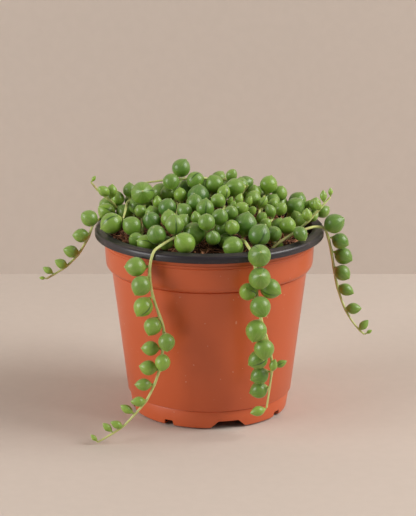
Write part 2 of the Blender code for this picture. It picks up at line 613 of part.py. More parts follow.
def thin_out(line, limit):
    """Drops the points of a line that lie within a limit of the straight run past them."""
    if len(line) < 3:
        return line
    way = (line[-1] - line[0]).normalized()
    off = [((p - line[0]) - way * (p - line[0]).dot(way)).length for p in line]
    far = max(range(len(line)), key=lambda k: off[k])
    if off[far] <= limit:
        return [line[0], line[-1]]
    return thin_out(line[:far + 1], limit)[:-1] + thin_out(line[far:], limit)


def stem_tube(name, line):
    """Makes a stem: a bevelled curve along a line, thinner over its last quarter, as a mesh."""
    curve = bpy.data.curves.new(name, "CURVE")
    curve.dimensions = "3D"
    curve.bevel_depth = STEM_RADIUS * MM
    curve.bevel_resolution = 0
    curve.use_fill_caps = True
    run = curve.splines.new("POLY")
    run.points.add(len(line) - 1)
    for k, (point, place) in enumerate(zip(run.points, line)):
        point.co = (*(place * MM), 1)
        point.radius = 1 - 0.45 * max(0.0, k / (len(line) - 1) * 4 - 3)
    body = bpy.data.objects.new(name, curve)
    parts.objects.link(body)
    return as_mesh(body, weld=True)


def pearl(name, centre, radius, root, point):
    """Makes one pearl leaf: a short point, a round body, and a stalk that starts in the stem."""
    reach = ((centre - root).length + 0.25) / radius
    neck = max(0.16, 0.5 / radius)
    profile = [(0, point), (0.36, 0.92), (0.92, 0.45), (0.92, -0.45), (neck, -0.97), (0, -reach)]
    if radius < SMALL_PEARL:
        profile = [(0, point), (0.4, 0.88), (0.98, -0.1), (neck, -0.97), (0, -reach)]
    sides = 7 if radius > 4.3 else 6 if radius > 1.8 else 5
    body = turned(name, [(r * radius, z * radius) for r, z in profile], sides)
    turn = (centre - root).to_track_quat("Z", "Y").to_matrix().to_4x4()
    body.matrix_world = Matrix.Translation(centre * MM) @ turn
    return body


def combine(body, others, operation, solver):
    """Joins or cuts an object with a group of others in one applied Boolean, and removes the group."""
    group = bpy.data.collections.new(body.name + "_group")
    bpy.context.scene.collection.children.link(group)
    for other in others:
        group.objects.link(other)
    step = body.modifiers.new("combine", "BOOLEAN")
    step.operand_type = "COLLECTION"
    step.collection = group
    step.operation = operation
    step.solver = solver
    body = as_mesh(body)
    for other in others:
        bpy.data.objects.remove(other)
    bpy.data.collections.remove(group)
    return body


def finish(body, look):
    """Gives a finished piece its material and its smooth shading."""
    body.data.materials.clear()
    body.data.materials.append(look)
    if body.data.polygons:
        body.data.shade_smooth()
        body.data.set_sharp_from_angle(angle=math.radians(50))


for old in list(bpy.data.objects):
    bpy.data.objects.remove(old)
parts = bpy.data.collections.new("potted_string_of_pearls")
cutters = bpy.data.collections.new("cutters")
bpy.context.scene.collection.children.link(parts)
bpy.context.scene.collection.children.link(cutters)
pot_look = material("terracotta_plastic", (0.62, 0.24, 0.11), 0.45)
soil_look = material("coco_soil", (0.16, 0.08, 0.05), 0.95)
plant_look = material("pearl_leaf", (0.16, 0.32, 0.07), 0.3)

# Pot: the turned sheet, thickened inwards, with the drain notches cut through its foot ring.
pot = turned("pot", POT_PROFILE, POT_SIDES)
parts.objects.link(pot)
sheet = pot.modifiers.new("sheet", "SOLIDIFY")
sheet.thickness = WALL * MM
sheet.offset = -1
sheet.use_even_offset = True
for k in range(NOTCH_COUNT):
    notch = notch_cutter(f"notch_{k + 1}", *(LARGE_NOTCH if k % 4 == 0 else SMALL_NOTCH))
    cutters.objects.link(notch)
    turn = math.radians(-90 + FIRST_NOTCH_DEG + 360 / NOTCH_COUNT * k)
    notch.matrix_world = Matrix.Rotation(turn, 4, "Z") @ notch.matrix_world
    notch = as_mesh(notch, weld=True)
    notch.hide_render = True
    notch.display_type = "WIRE"
drain = pot.modifiers.new("drain_notches", "BOOLEAN")
drain.operand_type = "COLLECTION"
drain.collection = cutters
drain.operation = "DIFFERENCE"
finish(pot, pot_look)

# Strands: each is its stem with all its pearls, fused into one body, and stands in its own hole.
holes = []
for name, strand in lay_out().items():
    root = strand["root"]
    ground = float(soil_height(root.x, root.y))
    foot = Vector((root.x, root.y, ground - HOLE_DEPTH + 0.6))
    stem = stem_tube(name, [foot] + thin_out(strand["line"], STEM_FIDELITY))
    leaves = [pearl(f"{name}_pearl_{k}", *one) for k, one in enumerate(strand["pearls"])]
    finish(combine(stem, leaves, "UNION", UNION_SOLVER), plant_look)
    bm = bmesh.new()
    bmesh.ops.create_cone(bm, cap_ends=True, segments=6, radius1=HOLE_RADIUS * MM, radius2=HOLE_RADIUS * MM,
                          depth=(HOLE_DEPTH + 4) * MM)
    mesh = bpy.data.meshes.new(name + "_hole")
    bm.to_mesh(mesh)
    bm.free()
    hole = bpy.data.objects.new(name + "_hole", mesh)
    hole.location = Vector((root.x, root.y, ground + 4 - (HOLE_DEPTH + 4) / 2)) * MM
    holes.append(hole)

# Soil: a turned plug whose top follows the mound, with one plain hole for each stem.
soil = turned("soil", [(r, SOIL_EDGE + 1) for r in SOIL_RINGS] + SOIL_SIDE, POT_SIDES)
parts.objects.link(soil)
soil = as_mesh(soil)
for dot in soil.data.vertices:
    if dot.co.z > (SOIL_EDGE - 0.5) * MM:
        dot.co.z = float(soil_height(dot.co.x / MM, dot.co.y / MM)) * MM
finish(combine(soil, holes, "DIFFERENCE", "EXACT"), soil_look)
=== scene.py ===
import math
import random

import bmesh
import bpy
import numpy as np
from mathutils import Matrix, Vector, noise


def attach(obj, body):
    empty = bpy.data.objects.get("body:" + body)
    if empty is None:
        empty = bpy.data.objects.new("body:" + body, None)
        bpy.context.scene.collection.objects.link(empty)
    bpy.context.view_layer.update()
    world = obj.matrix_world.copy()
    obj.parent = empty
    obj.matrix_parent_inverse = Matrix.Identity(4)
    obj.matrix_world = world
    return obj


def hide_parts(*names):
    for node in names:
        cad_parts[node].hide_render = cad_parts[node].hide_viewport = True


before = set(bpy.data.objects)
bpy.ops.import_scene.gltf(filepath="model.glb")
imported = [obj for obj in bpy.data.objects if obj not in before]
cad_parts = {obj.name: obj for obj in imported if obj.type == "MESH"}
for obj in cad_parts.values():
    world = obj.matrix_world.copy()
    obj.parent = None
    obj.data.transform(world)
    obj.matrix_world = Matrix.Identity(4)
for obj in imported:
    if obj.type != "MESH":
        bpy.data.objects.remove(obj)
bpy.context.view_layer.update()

# Studio: a pale warm table top that runs back to a wall of the same paper, lit by a large soft light on
# the right, a weaker one on the left and a little light from all round. None of it belongs to the plant.
# The eye and the wall's distance are in millimetres, like the plant, and the rest of this in metres.
MM = 0.001
PHOTO_HEIGHT = 516
FOCAL_PIXELS = 2200.0
EYE = Vector((0.0, -1114.0, 392.0))
EYE_TILT = math.radians(15.63)
AXIS_OFFSET_PIXELS = 1.45
WALL_BEHIND = 251.0
SHEET_SIZE = 3.0
FLOOR_DROP = 0.0006
WALL_FOOT = 0.001
POT_MIDDLE = Vector((0, 0, 0.06))
AIR_COLOUR = (1.0, 0.97, 0.94, 1.0)
AIR_STRENGTH = 0.165
scene = bpy.context.scene


def in_scene(name, data):
    """Puts a new object into the scene."""
    made = bpy.data.objects.new(name, data)
    scene.collection.objects.link(made)
    return made


lens = bpy.data.cameras.new("photo_camera")
lens.sensor_fit = "VERTICAL"
lens.sensor_height = lens.sensor_width = 36.0
lens.lens = FOCAL_PIXELS * lens.sensor_height / PHOTO_HEIGHT
lens.shift_x = -AXIS_OFFSET_PIXELS / PHOTO_HEIGHT
lens.clip_start = 0.05
camera = in_scene("photo_camera", lens)
camera.location = EYE * MM
camera.rotation_euler = (math.pi / 2 - EYE_TILT, 0, 0)
scene.camera = camera


class Wire:
    """One output of a material's nodes, whose sums and products add the Math nodes that they need."""

    def __init__(self, tree, out=None):
        self.tree = tree
        self.out = out

    def node(self, kind, settings, inputs, output=0):
        """Adds a node, from its type, its settings, and the values or links of its sockets."""
        made = self.tree.nodes.new(kind)
        for name, value in settings.items():
            setattr(made, name, value)
        for key, value in inputs.items():
            if isinstance(value, Wire):
                self.tree.links.new(value.out, made.inputs[key])
            else:
                made.inputs[key].default_value = value
        return Wire(self.tree, made.outputs[output])

    def math(self, operation, *values):
        """Adds one Math node on some values."""
        return self.node("ShaderNodeMath", {"operation": operation}, dict(enumerate(values)))

    def __add__(self, other):
        return self.math("ADD", self, other)

    __radd__ = __add__

    def __sub__(self, other):
        return self.math("SUBTRACT", self, other)

    def __rsub__(self, other):
        return self.math("SUBTRACT", other, self)

    def __mul__(self, other):
        return self.math("MULTIPLY", self, other)

    __rmul__ = __mul__

    def between(self, low, high):
        """Goes smoothly from 0 to 1 as the value goes from low to high."""
        return self.node("ShaderNodeMapRange", {"interpolation_type": "SMOOTHSTEP"},
                         {"Value": self, "From Min": low, "From Max": high})

    def blend(self, first, second):
        """Mixes two colours by this value."""
        colours = [c if isinstance(c, Wire) else (*c, 1.0) for c in (first, second)]
        return self.node("ShaderNodeMix", {"data_type": "RGBA"},
                         {0: self, 6: colours[0], 7: colours[1]}, 2)


class Finish:
    """A material under way, with its principled shader and its nodes."""

    def __init__(self, name, roughness, **constants):
        self.material = bpy.data.materials.new(name)
        self.material.use_nodes = True
        self.tree = self.material.node_tree
        self.shader = self.tree.nodes["Principled BSDF"]
        self.shader.inputs["Roughness"].default_value = roughness
        for key, value in constants.items():
            self.shader.inputs[key.replace("_", " ")].default_value = value
        self.start = Wire(self.tree)
        self.place = self.start.node("ShaderNodeTexCoord", {}, {}, "Object")

    def cloud(self, scale, detail=2.0):
        """Gives soft noise from 0 to 1 over the object's own coordinates."""
        return self.start.node("ShaderNodeTexNoise", {},
                               {"Vector": self.place, "Scale": scale, "Detail": detail}, "Fac")

    def held(self, name):
        """Reads a value that the mesh's points hold."""
        return self.start.node("ShaderNodeAttribute", {"attribute_name": name}, {}, "Fac")

    def feed(self, socket, wire):
        """Sends a wire into one of the principled shader's sockets."""
        self.tree.links.new(wire.out, self.shader.inputs[socket])

    def bump(self, height, depth, strength):
        """Raises the surface by a wire's height, at a depth in metres."""
        raised = self.start.node("ShaderNodeBump", {},
                                 {"Height": height, "Distance": depth, "Strength": strength})
        self.feed("Normal", raised)


def warm_paper(name):
    """Makes one finish of the studio's pale paper."""
    paper = Finish(name, 0.85)
    grain = paper.cloud(160.0, 4.0).between(0.3, 0.7)
    sheet_colour = paper.cloud(2.0).blend((0.585, 0.506, 0.443), (0.615, 0.532, 0.467))
    paper.feed("Base Color", (grain * 0.12).blend(sheet_colour, (0.50, 0.430, 0.370)))
    return paper


def open_at_the_back(paper):
    """Leaves only the front of a sheet, so that the wall never hides the plant from behind."""
    behind = paper.start.node("ShaderNodeNewGeometry", {}, {}, "Backfacing")
    front = Wire(paper.tree, paper.shader.outputs["BSDF"])
    nothing = paper.start.node("ShaderNodeBsdfTransparent", {}, {})
    surface = paper.start.node("ShaderNodeMixShader", {}, {0: behind, 1: front, 2: nothing})
    paper.tree.links.new(surface.out, paper.tree.nodes["Material Output"].inputs["Surface"])


def as_mesh(name, shape):
    """Turns a bmesh into a mesh."""
    mesh = bpy.data.meshes.new(name)
    shape.to_mesh(mesh)
    shape.free()
    return mesh


def as_piece(name, shape, materials):
    """Turns a bmesh into a smooth object of the scene."""
    mesh = as_mesh(name, shape)
    for material in materials:
        mesh.materials.append(material)
    mesh.shade_smooth()
    return in_scene(name, mesh)


def stage_sheet(name, place, turn, paper):
    """Makes one flat sheet of the studio's paper, tipped up by a turn about X."""
    sheet = bmesh.new()
    bmesh.ops.create_grid(sheet, x_segments=1, y_segments=1, size=SHEET_SIZE)
    bmesh.ops.transform(sheet, matrix=Matrix.Translation(place) @ Matrix.Rotation(turn, 4, "X"),
                        verts=sheet.verts)
    as_piece(name, sheet, [paper.material])


def soft_light(name, power, size, place, colour):
    """Hangs one large square light that faces the middle of the pot."""
    lamp = bpy.data.lights.new(name, "AREA")
    lamp.energy = power
    lamp.size = size
    lamp.color = colour
    made = in_scene(name, lamp)
    made.location = place
    made.rotation_euler = (POT_MIDDLE - Vector(place)).to_track_quat("-Z", "Y").to_euler()


floor_paper = warm_paper("floor_paper")
wall_paper = warm_paper("wall_paper")
open_at_the_back(wall_paper)
stage_sheet("studio_floor", (0, 0, -FLOOR_DROP), 0, floor_paper)
stage_sheet("studio_wall", (0, WALL_BEHIND * MM, SHEET_SIZE - WALL_FOOT), math.pi / 2, wall_paper)
soft_light("right_softbox", 20.6, 0.95, (1.16, -0.27, 0.96), (1.0, 0.98, 0.955))
soft_light("left_softbox", 14.4, 0.82, (-1.31, -0.53, 0.56), (1.0, 0.985, 0.97))
air = bpy.data.worlds.new("studio_air")
air.use_nodes = True
sky = air.node_tree.nodes["Background"]
sky.inputs["Color"].default_value = AIR_COLOUR
sky.inputs["Strength"].default_value = AIR_STRENGTH
scene.world = air
scene.view_settings.view_transform = "Standard"

# The plant's layout: where every pearl and stem lies. The front is placed as it is seen, the back by
# rule, and then all of it is eased apart until the strands stand clear of each other, soil and pot.
# Lengths are in millimetres.
RIM_TOP = 98.0
SOIL_EDGE = 88.5
SOIL_MOUND = 14.0
SOIL_RADIUS = 53.0
STEM_RADIUS = 0.62
PETIOLE = 1.3
POINT = 1.18
SHORT_POINT = 1.1
SHORTEST_POINT = 1.03
SWELL = 1.02
CLEAR = 0.45
NODE_STEP = 1.6
BEHIND = 0.7
HEAP_EDGE = 97.5
HEAP_RISE = 20.0
HEAP_RADIUS = 55.0
HEAP_FRONT = -58
HEAP_CREST = 13
LIP_INNER = 53.9
LIP_OUTER = 60.0
OUTWARD_LEAN = 60.0
ROOT_RADIUS = 46
ROOT_GAP = 4.2
LARGE_LEAF = 5

# How the plant settles: step by step each pearl and stem point is pulled towards its own place, kept in
# its chain and pushed out of what it lies in. In the last few steps nothing is pulled home any more.
SETTLE_STEPS = 260
FREE_STEPS = 16
LEAST_PULL = 0.08
PULL_TIME = 0.7
PEARL_GIVE = 0.35
TRAIL_FRONT = -38
TRAIL_HOLD = 0.6
HEAP_HOLD = 0.25
RUN_HOLD = 0.22
STEM_HOLD = 0.01
SIGHT_PLAY = 0.85
SLIDE = 0.85
STALK_SLACK = 0.4
STALK_STRETCH = 0.8
LOOK_EVERY = 6
LOOK_AROUND = 3.0
OWN_CHAIN = 4
OWN_STALK = 3
STEM_GAP = 1.1
OWN_GAP = 0.3
PUSH = 0.55

# The front view that the plant's places are given in: across and up from the centre of the rim's top,
# as seen from the eye, which looks ahead.
AHEAD = Vector((0, math.cos(EYE_TILT), -math.sin(EYE_TILT)))
UPWARD = Vector((0, math.sin(EYE_TILT), math.cos(EYE_TILT)))
SIDEWAYS = Vector((1, 0, 0))
RIM_CENTRE = Vector((0, 0, RIM_TOP))

# The strands: pearls on the heap, then a run of stem, then the pearls on that run.
# A pearl is (across, up, diameter, hour, behind). Its point turns to that hour on a clock face, to the eye
# at 0, or outwards from the heap without one. Behind is how much deeper it lies than the heap's front, or
# on a run that it lies behind the stem. A point of a run is (across, up, depth).
OUT = None
STRANDS = {
    "left_trail": {
        "heap": [(-52.5, 12.7, 9.2, 1, 1), (-55, 8.7, 9, 10)],
        "run": [
            (-57, 3, 1), (-59.4, 1.6, 0), (-61, -0.2, -0.5), (-62, -3, -1), (-63, -6, -2),
            (-64.4, -9.5, -3), (-66.2, -13.3, -4), (-68.6, -16, -5), (-73.9, -21.5, -7), (-77, -23.6, -8),
            (-80.3, -25.3, -9), (-83.8, -27.9, -10), (-85.6, -28.3, -10.5)],
        "trail": [
            (-62.6, 3.7, 8.8, 10), (-66.9, -5.2, 7.6, 9), (-72, -13.7, 7, 9.5),
            (-76.9, -20.4, 5.8, 10), (-84.5, -23.4, 4.3, 10), (-87.4, -27.4, 2.3, 9)],
    },
    "left_tip": {
        "heap": [(-47.5, 15, 7.5, 12, 1)],
        "run": [
            (-50, 11.4, 8), (-54, 13, 8), (-57, 15, 8), (-59.6, 17.6, 8), (-61.6, 20.6, 7.5),
            (-61.7, 22.6, 7)],
        "trail": [(-51, 18, 6, 12, 1), (-55.2, 18.6, 6, 10), (-60.6, 24.4, 2.5, 1)],
    },
    "front_left_trail": {
        "heap": [(-20.6, 4, 8.6, 12, 1), (-13.7, 2, 8.6, 1, 1), (-17, -0.4, 9.8, 12)],
        "run": [
            (-15.2, -6.2, -40), (-20, -7, -45), (-24.5, -9.3, -49.5), (-28, -12, -52.5), (-30, -15, -53.4),
            (-31.7, -20, -53.9), (-32.2, -25, -54), (-31.4, -29.5, -54.2), (-30.2, -34, -54.3),
            (-28.6, -40.5, -54.5), (-26, -47, -54.8), (-24, -51, -55), (-23.6, -56, -55.2),
            (-23.2, -62, -55.5), (-23.6, -68.5, -56), (-25.2, -76.5, -56.8), (-28.2, -84, -57.6),
            (-31.2, -91, -58.5), (-36.5, -96.5, -59.5), (-43.4, -104.5, -61), (-50, -109.3, -62),
            (-56.5, -113.2, -63), (-58.7, -114, -63)],
        "trail": [
            (-38.4, -21.5, 9.8, 9), (-36.2, -31.7, 9.8, 7), (-35, -42.7, 9.8, 7), (-29.6, -52.6, 8.8, 6.6),
            (-22.2, -61.4, 8.6, 6), (-31.6, -64.2, 7.8, 9), (-24.4, -71.5, 8, 6.4),
            (-32, -74.5, 7.8, 9.4), (-34.6, -83.3, 6.9, 9), (-36.7, -92.2, 6, 9), (-43.4, -96, 5.2, 10),
            (-47.6, -104.6, 5, 10), (-53.6, -105.6, 4.4, 10.5), (-60.4, -111.2, 3.2, 10.5)],
    },
    "front_right_trail": {
        "heap": [(18.8, 1.2, 11.4, 12.4)],
        "run": [
            (17.2, -7, -47), (19.6, -10, -51.5), (21, -13, -55), (22.2, -16.5, -57.4), (23.4, -21, -58),
            (24.4, -27, -58.2), (25.3, -33.5, -58.2), (25.8, -41, -58.2), (26.4, -48, -58), (28, -52, -58),
            (30.3, -57, -57.8), (32.2, -62.5, -57.5), (33.2, -67.5, -57.2), (34.2, -71, -57),
            (33.8, -76.3, -56.8), (32.6, -80.5, -56.5), (31.6, -86.5, -56.2), (30.8, -92.5, -56),
            (30.2, -95.4, -56)],
        "trail": [
            (26.6, -15.8, 11.4, 0), (26.4, -27.5, 11, 0), (31.8, -32.8, 10.2, 4, 1),
            (19.8, -34.6, 8.6, 0), (26.4, -42.2, 10.4, 5), (24.3, -55.8, 10.8, 6.6), (28.3, -65, 10, 6),
            (25.2, -70.4, 9.6, 8, 1), (33.6, -73, 5, 12.5), (38.2, -72.2, 4.6, 2), (25.9, -78.4, 8.8, 8),
            (25.7, -86, 8.6, 8.4), (25.5, -97.2, 6, 8.6)],
    },
    "right_trail": {
        "run": [
            (36, -8, -38), (40.5, -6.2, -34), (46, -3.8, -27), (50, -2, -20), (53, -1, -12),
            (54.8, 1.8, -8), (57, 0.9, -7), (59.6, -0.9, -6.5), (61.3, -4, -6), (62.9, -9.4, -6),
            (64.2, -14.3, -6), (64.6, -20, -6.2), (65.1, -27, -6.5), (66.4, -31.5, -7),
            (68.1, -38.2, -7.5), (70.2, -42.8, -8), (72.7, -48.7, -8.5), (75.5, -54, -9),
            (78.3, -55.7, -9.3), (80.8, -57.3, -9.5)],
        "trail": [
            (47.6, -6.2, 7.6, 5), (64.6, 0.6, 10.4, 2), (68.6, -8, 8.4, 4), (70.4, -16, 9, 4),
            (69.6, -24.6, 8.2, 4.4), (71.4, -33.4, 7, 4), (75, -43.4, 6.6, 3), (80.4, -52.4, 5.2, 1.5),
            (83.6, -55.6, 2.4, 2)],
    },
    "right_tip": {
        "heap": [(46, 4.4, 6.6, 11, 1), (47.4, 0.8, 6.6, 1.5)],
        "run": [
            (50, 0, -16), (52.5, 3, -14), (55, 6, -12), (57.5, 8.6, -10), (60, 11, -8.5), (62, 13.4, -7.5),
            (63.2, 15, -7)],
        "trail": [(51, 5.4, 5.8, 12), (56.7, 10.4, 4.8, 11), (59.6, 15.4, 4.4, 12), (63.4, 17.6, 3, 12)],
    },
    "crown": {
        "heap": [(19.4, 22.4, 8.7, 2, 1), (11.8, 26, 6.2, 1), (4.6, 23.6, 8, 1, 1)],
        "run": [
            (0, 25, 14), (-4, 25.2, 14), (-8, 24.6, 14), (-13, 24, 14), (-18, 23.6, 13.5), (-24, 23.4, 12),
            (-29, 23, 11), (-34, 22.4, 10)],
        "trail": [(-8, 23.5, 9.3, 7.6), (-14.8, 30, 9.6, 1), (-19.4, 22.4, 8.6, 6)],
    },
    "left_shoulder": {"heap": [
        (-42, 19.8, 7.2, 12, 1), (-42, 13.4, 6, OUT, 1), (-44.6, 7.6, 9, OUT, 1),
        (-50.7, 0, 11, 8)]},
    "left_front": {"heap": [(-35, 16.2, 12, 0), (-35.7, 7.3, 6.8), (-40, -0.6, 9.8), (-38.8, -7.6, 7.6)]},
    "left_middle": {"heap": [
        (-26, 16.8, 10, 3, 0.7), (-27, 13, 5.5), (-30, 6.2, 7.5, OUT, 1), (-30.5, 1.2, 9.6, OUT, 1),
        (-28, -4.2, 9.8), (-32.6, -9.8, 9.8, 10)]},
    "inner_left": {"heap": [
        (-15, 17.4, 7, OUT, 1), (-21.5, 17.2, 8.5, OUT, 1), (-22.6, 8.8, 9.5, 1, 0.6),
        (-13.6, 7.2, 8, 11)]},
    "centre_left": {"heap": [
        (-6, 15.2, 11.5, OUT, 1), (-8, 11.6, 9, 12), (-2, 8.8, 9.4, 12), (-1.4, 3.4, 8.6, 12),
        (-8, 2.6, 6, 12, 1), (-7.2, -5.4, 11.4, OUT, 0.5), (-15.3, -12.6, 10.8, 11),
        (-23.5, -11, 7.6, OUT, 1)]},
    "centre_right": {"heap": [
        (2.9, 21.6, 9.4, 11), (7.6, 17.2, 7, OUT, 1), (4.8, 13.2, 7.5, 9.5), (6, 4.6, 8.6),
        (4.6, -3.4, 8, OUT, 1.3), (1.4, -5.8, 7.6, OUT, 0.6), (7.6, -9.8, 8, OUT, 1.3),
        (12.6, -11.6, 10.4, 9)]},
    "inner_right": {"heap": [
        (16.6, 21, 7.6), (13.3, 19.6, 9.8, 9), (10.8, 13, 3.6), (12.4, 10.2, 4.6), (11.4, 6.4, 7.6),
        (11.4, -1.8, 7.8)]},
    "small_middle": {"heap": [
        (22.8, 14, 8, OUT, 1), (20.8, 12.7, 4.6), (15.2, 13.6, 5), (16.3, 8.8, 7, 2),
        (23.4, 8.4, 5.2)]},
    "right_middle": {"heap": [
        (31.9, 22.4, 9.2, 12.5), (29.8, 16, 6.6), (27.8, 12.2, 5.4), (27, 3.8, 6, OUT, 1),
        (29.4, 0.6, 6.4, OUT, 1), (26, -5.2, 11.2, 1)]},
    "right_front": {"heap": [
        (36.6, 16.8, 8), (33, 12.6, 6.2), (32.2, 7.6, 6.2, 11), (37.8, 8.8, 6.6, 1),
        (36, 0, 7.6, OUT, 1), (33.8, -4.8, 8), (36.3, -10.8, 4.6)]},
    "right_shoulder": {"heap": [(47, 15, 9.4, 1, 1), (44.6, 9.6, 10), (40.8, -0.2, 8.6, 12.5)]},
    "right_edge": {"heap": [
        (55.4, 13.2, 6.6, 12.5), (51, 10.6, 4.6), (54.4, 7.4, 4.6), (59, 6.6, 6.8, OUT, 1),
        (56.2, 4.2, 4.8)]},
}

# The back of the heap isn't seen from the front: strands fan out there by rule, one over the rim.
FAN_COUNT = 9
FAN_FIRST_DEG = 12.0
FAN_STEP_DEG = 19.5
FAN_RADII = [17, 25.5, 33.5, 41.5, 49]
FAN_SWAY = 3.4
CROWDED = 0.6
HIDING = 0.6
BACK_RUN = [(9, 57.5, 101.5), (9.6, 61, 99), (10, 62.6, 94), (9, 62.8, 86),
            (10.5, 62.2, 78), (9, 61.5, 70), (10, 61.5, 62), (9.4, 61.8, 55)]
BACK_DROP = [(93, 9.6), (84.5, 9.2), (76, 9), (68.5, 8), (61.5, 6.6), (55.5, 4.8)]


def seen(across, up, depth):
    """Gives the point at a depth on the sight line of a front-view place."""
    line = RIM_CENTRE + SIDEWAYS * across + UPWARD * up - EYE
    return EYE + line * ((depth - EYE.y) / line.y)


def place_of(point):
    """Gives the front-view place of a point."""
    line = point - EYE
    line = line * ((RIM_CENTRE - EYE).dot(AHEAD) / line.dot(AHEAD)) + EYE - RIM_CENTRE
    return line.x, line.dot(UPWARD)


def heap_height(x, y):
    """Gives the height of the heap's middle layer of pearls over a place."""
    return HEAP_EDGE + HEAP_RISE * (1 - (x * x + y * y) / HEAP_RADIUS ** 2)


def soil_height(x, y):
    """Gives the height of the soil over a place, for numbers or arrays."""
    bumps = 0.8 * np.sin(x * 0.21 + 1.0) * np.sin(y * 0.19 + 0.4)
    return SOIL_EDGE + SOIL_MOUND * (1 - (x * x + y * y) / SOIL_RADIUS ** 2) + bumps


def heap_depth(across, up, room):
    """Finds where a sight line meets the heap clear of the lip, or passes closest over it."""
    least, found = math.inf, 0
    for depth in range(HEAP_FRONT, HEAP_CREST):
        point = seen(across, up, depth)
        if LIP_INNER - room < point.xy.length < LIP_OUTER + room and point.z < RIM_TOP + room:
            continue
        over = point.z - heap_height(point.x, point.y)
        if over <= 0:
            return depth
        if over < least:
            least, found = over, depth
    return found


def clock(hour, point, rng):
    """Gives the way a pearl's point turns: by its clock hour, or outwards from the heap."""
    if hour is OUT:
        lean = Vector((point.x / OUTWARD_LEAN, point.y / OUTWARD_LEAN, 1.0))
        return (lean + Vector((rng.uniform(-0.4, 0.4), rng.uniform(-0.4, 0.4), 0))).normalized()
    if hour == 0:
        return (UPWARD * 0.25 - AHEAD).normalized()
    turn = math.radians(30 * hour)
    return (SIDEWAYS * math.sin(turn) + UPWARD * math.cos(turn) - AHEAD * 0.3).normalized()


def over_soil(point, size, way):
    """Tilts the way of a pearl's stalk so that its foot stands on the soil and not in it."""
    foot = point - way * (size / 2 + PETIOLE)
    ground = soil_height(foot.x, foot.y) + STEM_RADIUS + CLEAR + 0.4
    if foot.xy.length < SOIL_RADIUS and foot.z < ground:
        foot.z = ground
        return (point - foot).normalized()
    return way


def shortest_order(start, points, end):
    """Orders points into a short path from the start to the end, by swapping runs of them."""
    order = sorted(range(len(points)), key=lambda k: (points[k] - start).length)

    def cost(path):
        stops = [start] + [points[k] for k in path] + ([end] if end else [])
        return sum((b - a).length for a, b in zip(stops, stops[1:]))

    better = True
    while better:
        better = False
        for i in range(len(order)):
            for j in range(i + 1, len(order)):
                trial = order[:i] + order[i:j + 1][::-1] + order[j + 1:]
                if cost(trial) < cost(order) - 1e-6:
                    order, better = trial, True
    return order


def smooth_line(points, step):
    """Runs a smooth curve through points and gives it back as even short steps."""
    knots = [points[0] * 2 - points[1]] + points + [points[-1] * 2 - points[-2]]
    fine = []
    for a, b, c, d in zip(knots, knots[1:], knots[2:], knots[3:]):
        for k in range(12):
            t = k / 12
            fine.append(0.5 * (2 * b + (c - a) * t + (2 * a - 5 * b + 4 * c - d) * t * t
                               + (3 * b - a - 3 * c + d) * t ** 3))
    fine.append(points[-1])
    length = sum((b - a).length for a, b in zip(fine, fine[1:]))
    count = max(2, round(length / step))
    line, walked, target = [fine[0]], 0.0, length / count
    for a, b in zip(fine, fine[1:]):
        part = (b - a).length
        while part and walked + part >= target * len(line) and len(line) < count:
            line.append(a.lerp(b, (target * len(line) - walked) / part))
        walked += part
    return line + [fine[-1]]


def in_the_way(pearl, other):
    """Tells if a pearl of the back would lie in one of the front, or hide it from the eye."""
    (point, size, _), (spot, width, _) = pearl, other
    reach = (size + width) / 2
    before = (point - EYE).dot(AHEAD) < (spot - EYE).dot(AHEAD)
    return (point - spot).length < CROWDED * reach or (
        before and math.dist(place_of(point), place_of(spot)) < HIDING * reach)


def back_strands(front):
    """Makes the strands on the back of the heap, with pearls as (point, diameter, direction)."""
    rng = random.Random(7)
    taken = [pearl for strand in front.values() for pearl in strand["pearls"]]
    fans = {}
    for k in range(FAN_COUNT):
        angle = math.radians(FAN_FIRST_DEG + FAN_STEP_DEG * k)
        along = Vector((math.cos(angle), math.sin(angle), 0))
        across = Vector((-along.y, along.x, 0))
        pearls = []
        for row, radius in enumerate(FAN_RADII[k % 2:]):
            sway = FAN_SWAY * (-1) ** (row + k) * rng.uniform(0.7, 1.1)
            point = along * (radius + rng.uniform(-1.5, 1.5)) + across * sway
            point.z = heap_height(point.x, point.y) + rng.uniform(-1.5, 1.5)
            pearl = (point, rng.uniform(7.0, 10.5), clock(OUT, point, rng))
            if not any(in_the_way(pearl, other) for other in taken):
                pearls.append(pearl)
        fans[f"back_{k + 1}"] = {"pearls": pearls, "run": [], "run_pearls": []}
    over_rim = fans["back_5"]
    over_rim["run"] = [Vector(point) for point in BACK_RUN]
    for k, (height, size) in enumerate(BACK_DROP):
        side = (-1) ** k
        lean = Vector((side, 0.5, -0.35)).normalized()
        point = Vector((9.6 + side * (size / 2 + 0.9), 63.6, height))
        over_rim["run_pearls"].append((point, size, lean))
    return fans


def pearls_of(parts, key):
    """Gives one list of a strand's pearls, with what their entries leave out."""
    return [(*pearl, *(OUT, 0)[len(pearl) - 3:]) for pearl in parts.get(key, [])]


def front_strands():
    """Turns the front-view places of the strands into points, sizes and directions."""
    rng = random.Random(3)
    strands = {}
    for name, parts in STRANDS.items():
        pearls = []
        for across, up, size, hour, behind in pearls_of(parts, "heap"):
            depth = heap_depth(across, up, size / 2 * SWELL + CLEAR) + behind * BEHIND * size
            point = seen(across, up, depth)
            pearls.append((point, size, over_soil(point, size, clock(hour, point, rng))))
        run = [seen(*place) for place in parts.get("run", [])]
        hung = []
        for across, up, size, hour, behind in pearls_of(parts, "trail"):
            near = min(run, key=lambda p: math.dist(place_of(p), (across, up)))
            reach = size / 2 + PETIOLE
            off = math.dist(place_of(near), (across, up))
            depth = math.sqrt(max(0.0, reach ** 2 - off ** 2)) * (1 if behind else -1)
            point = seen(across, up, near.y + depth)
            hung.append((point, size, clock(hour, point, rng)))
        strands[name] = {"pearls": pearls, "run": run, "run_pearls": hung}
    return strands


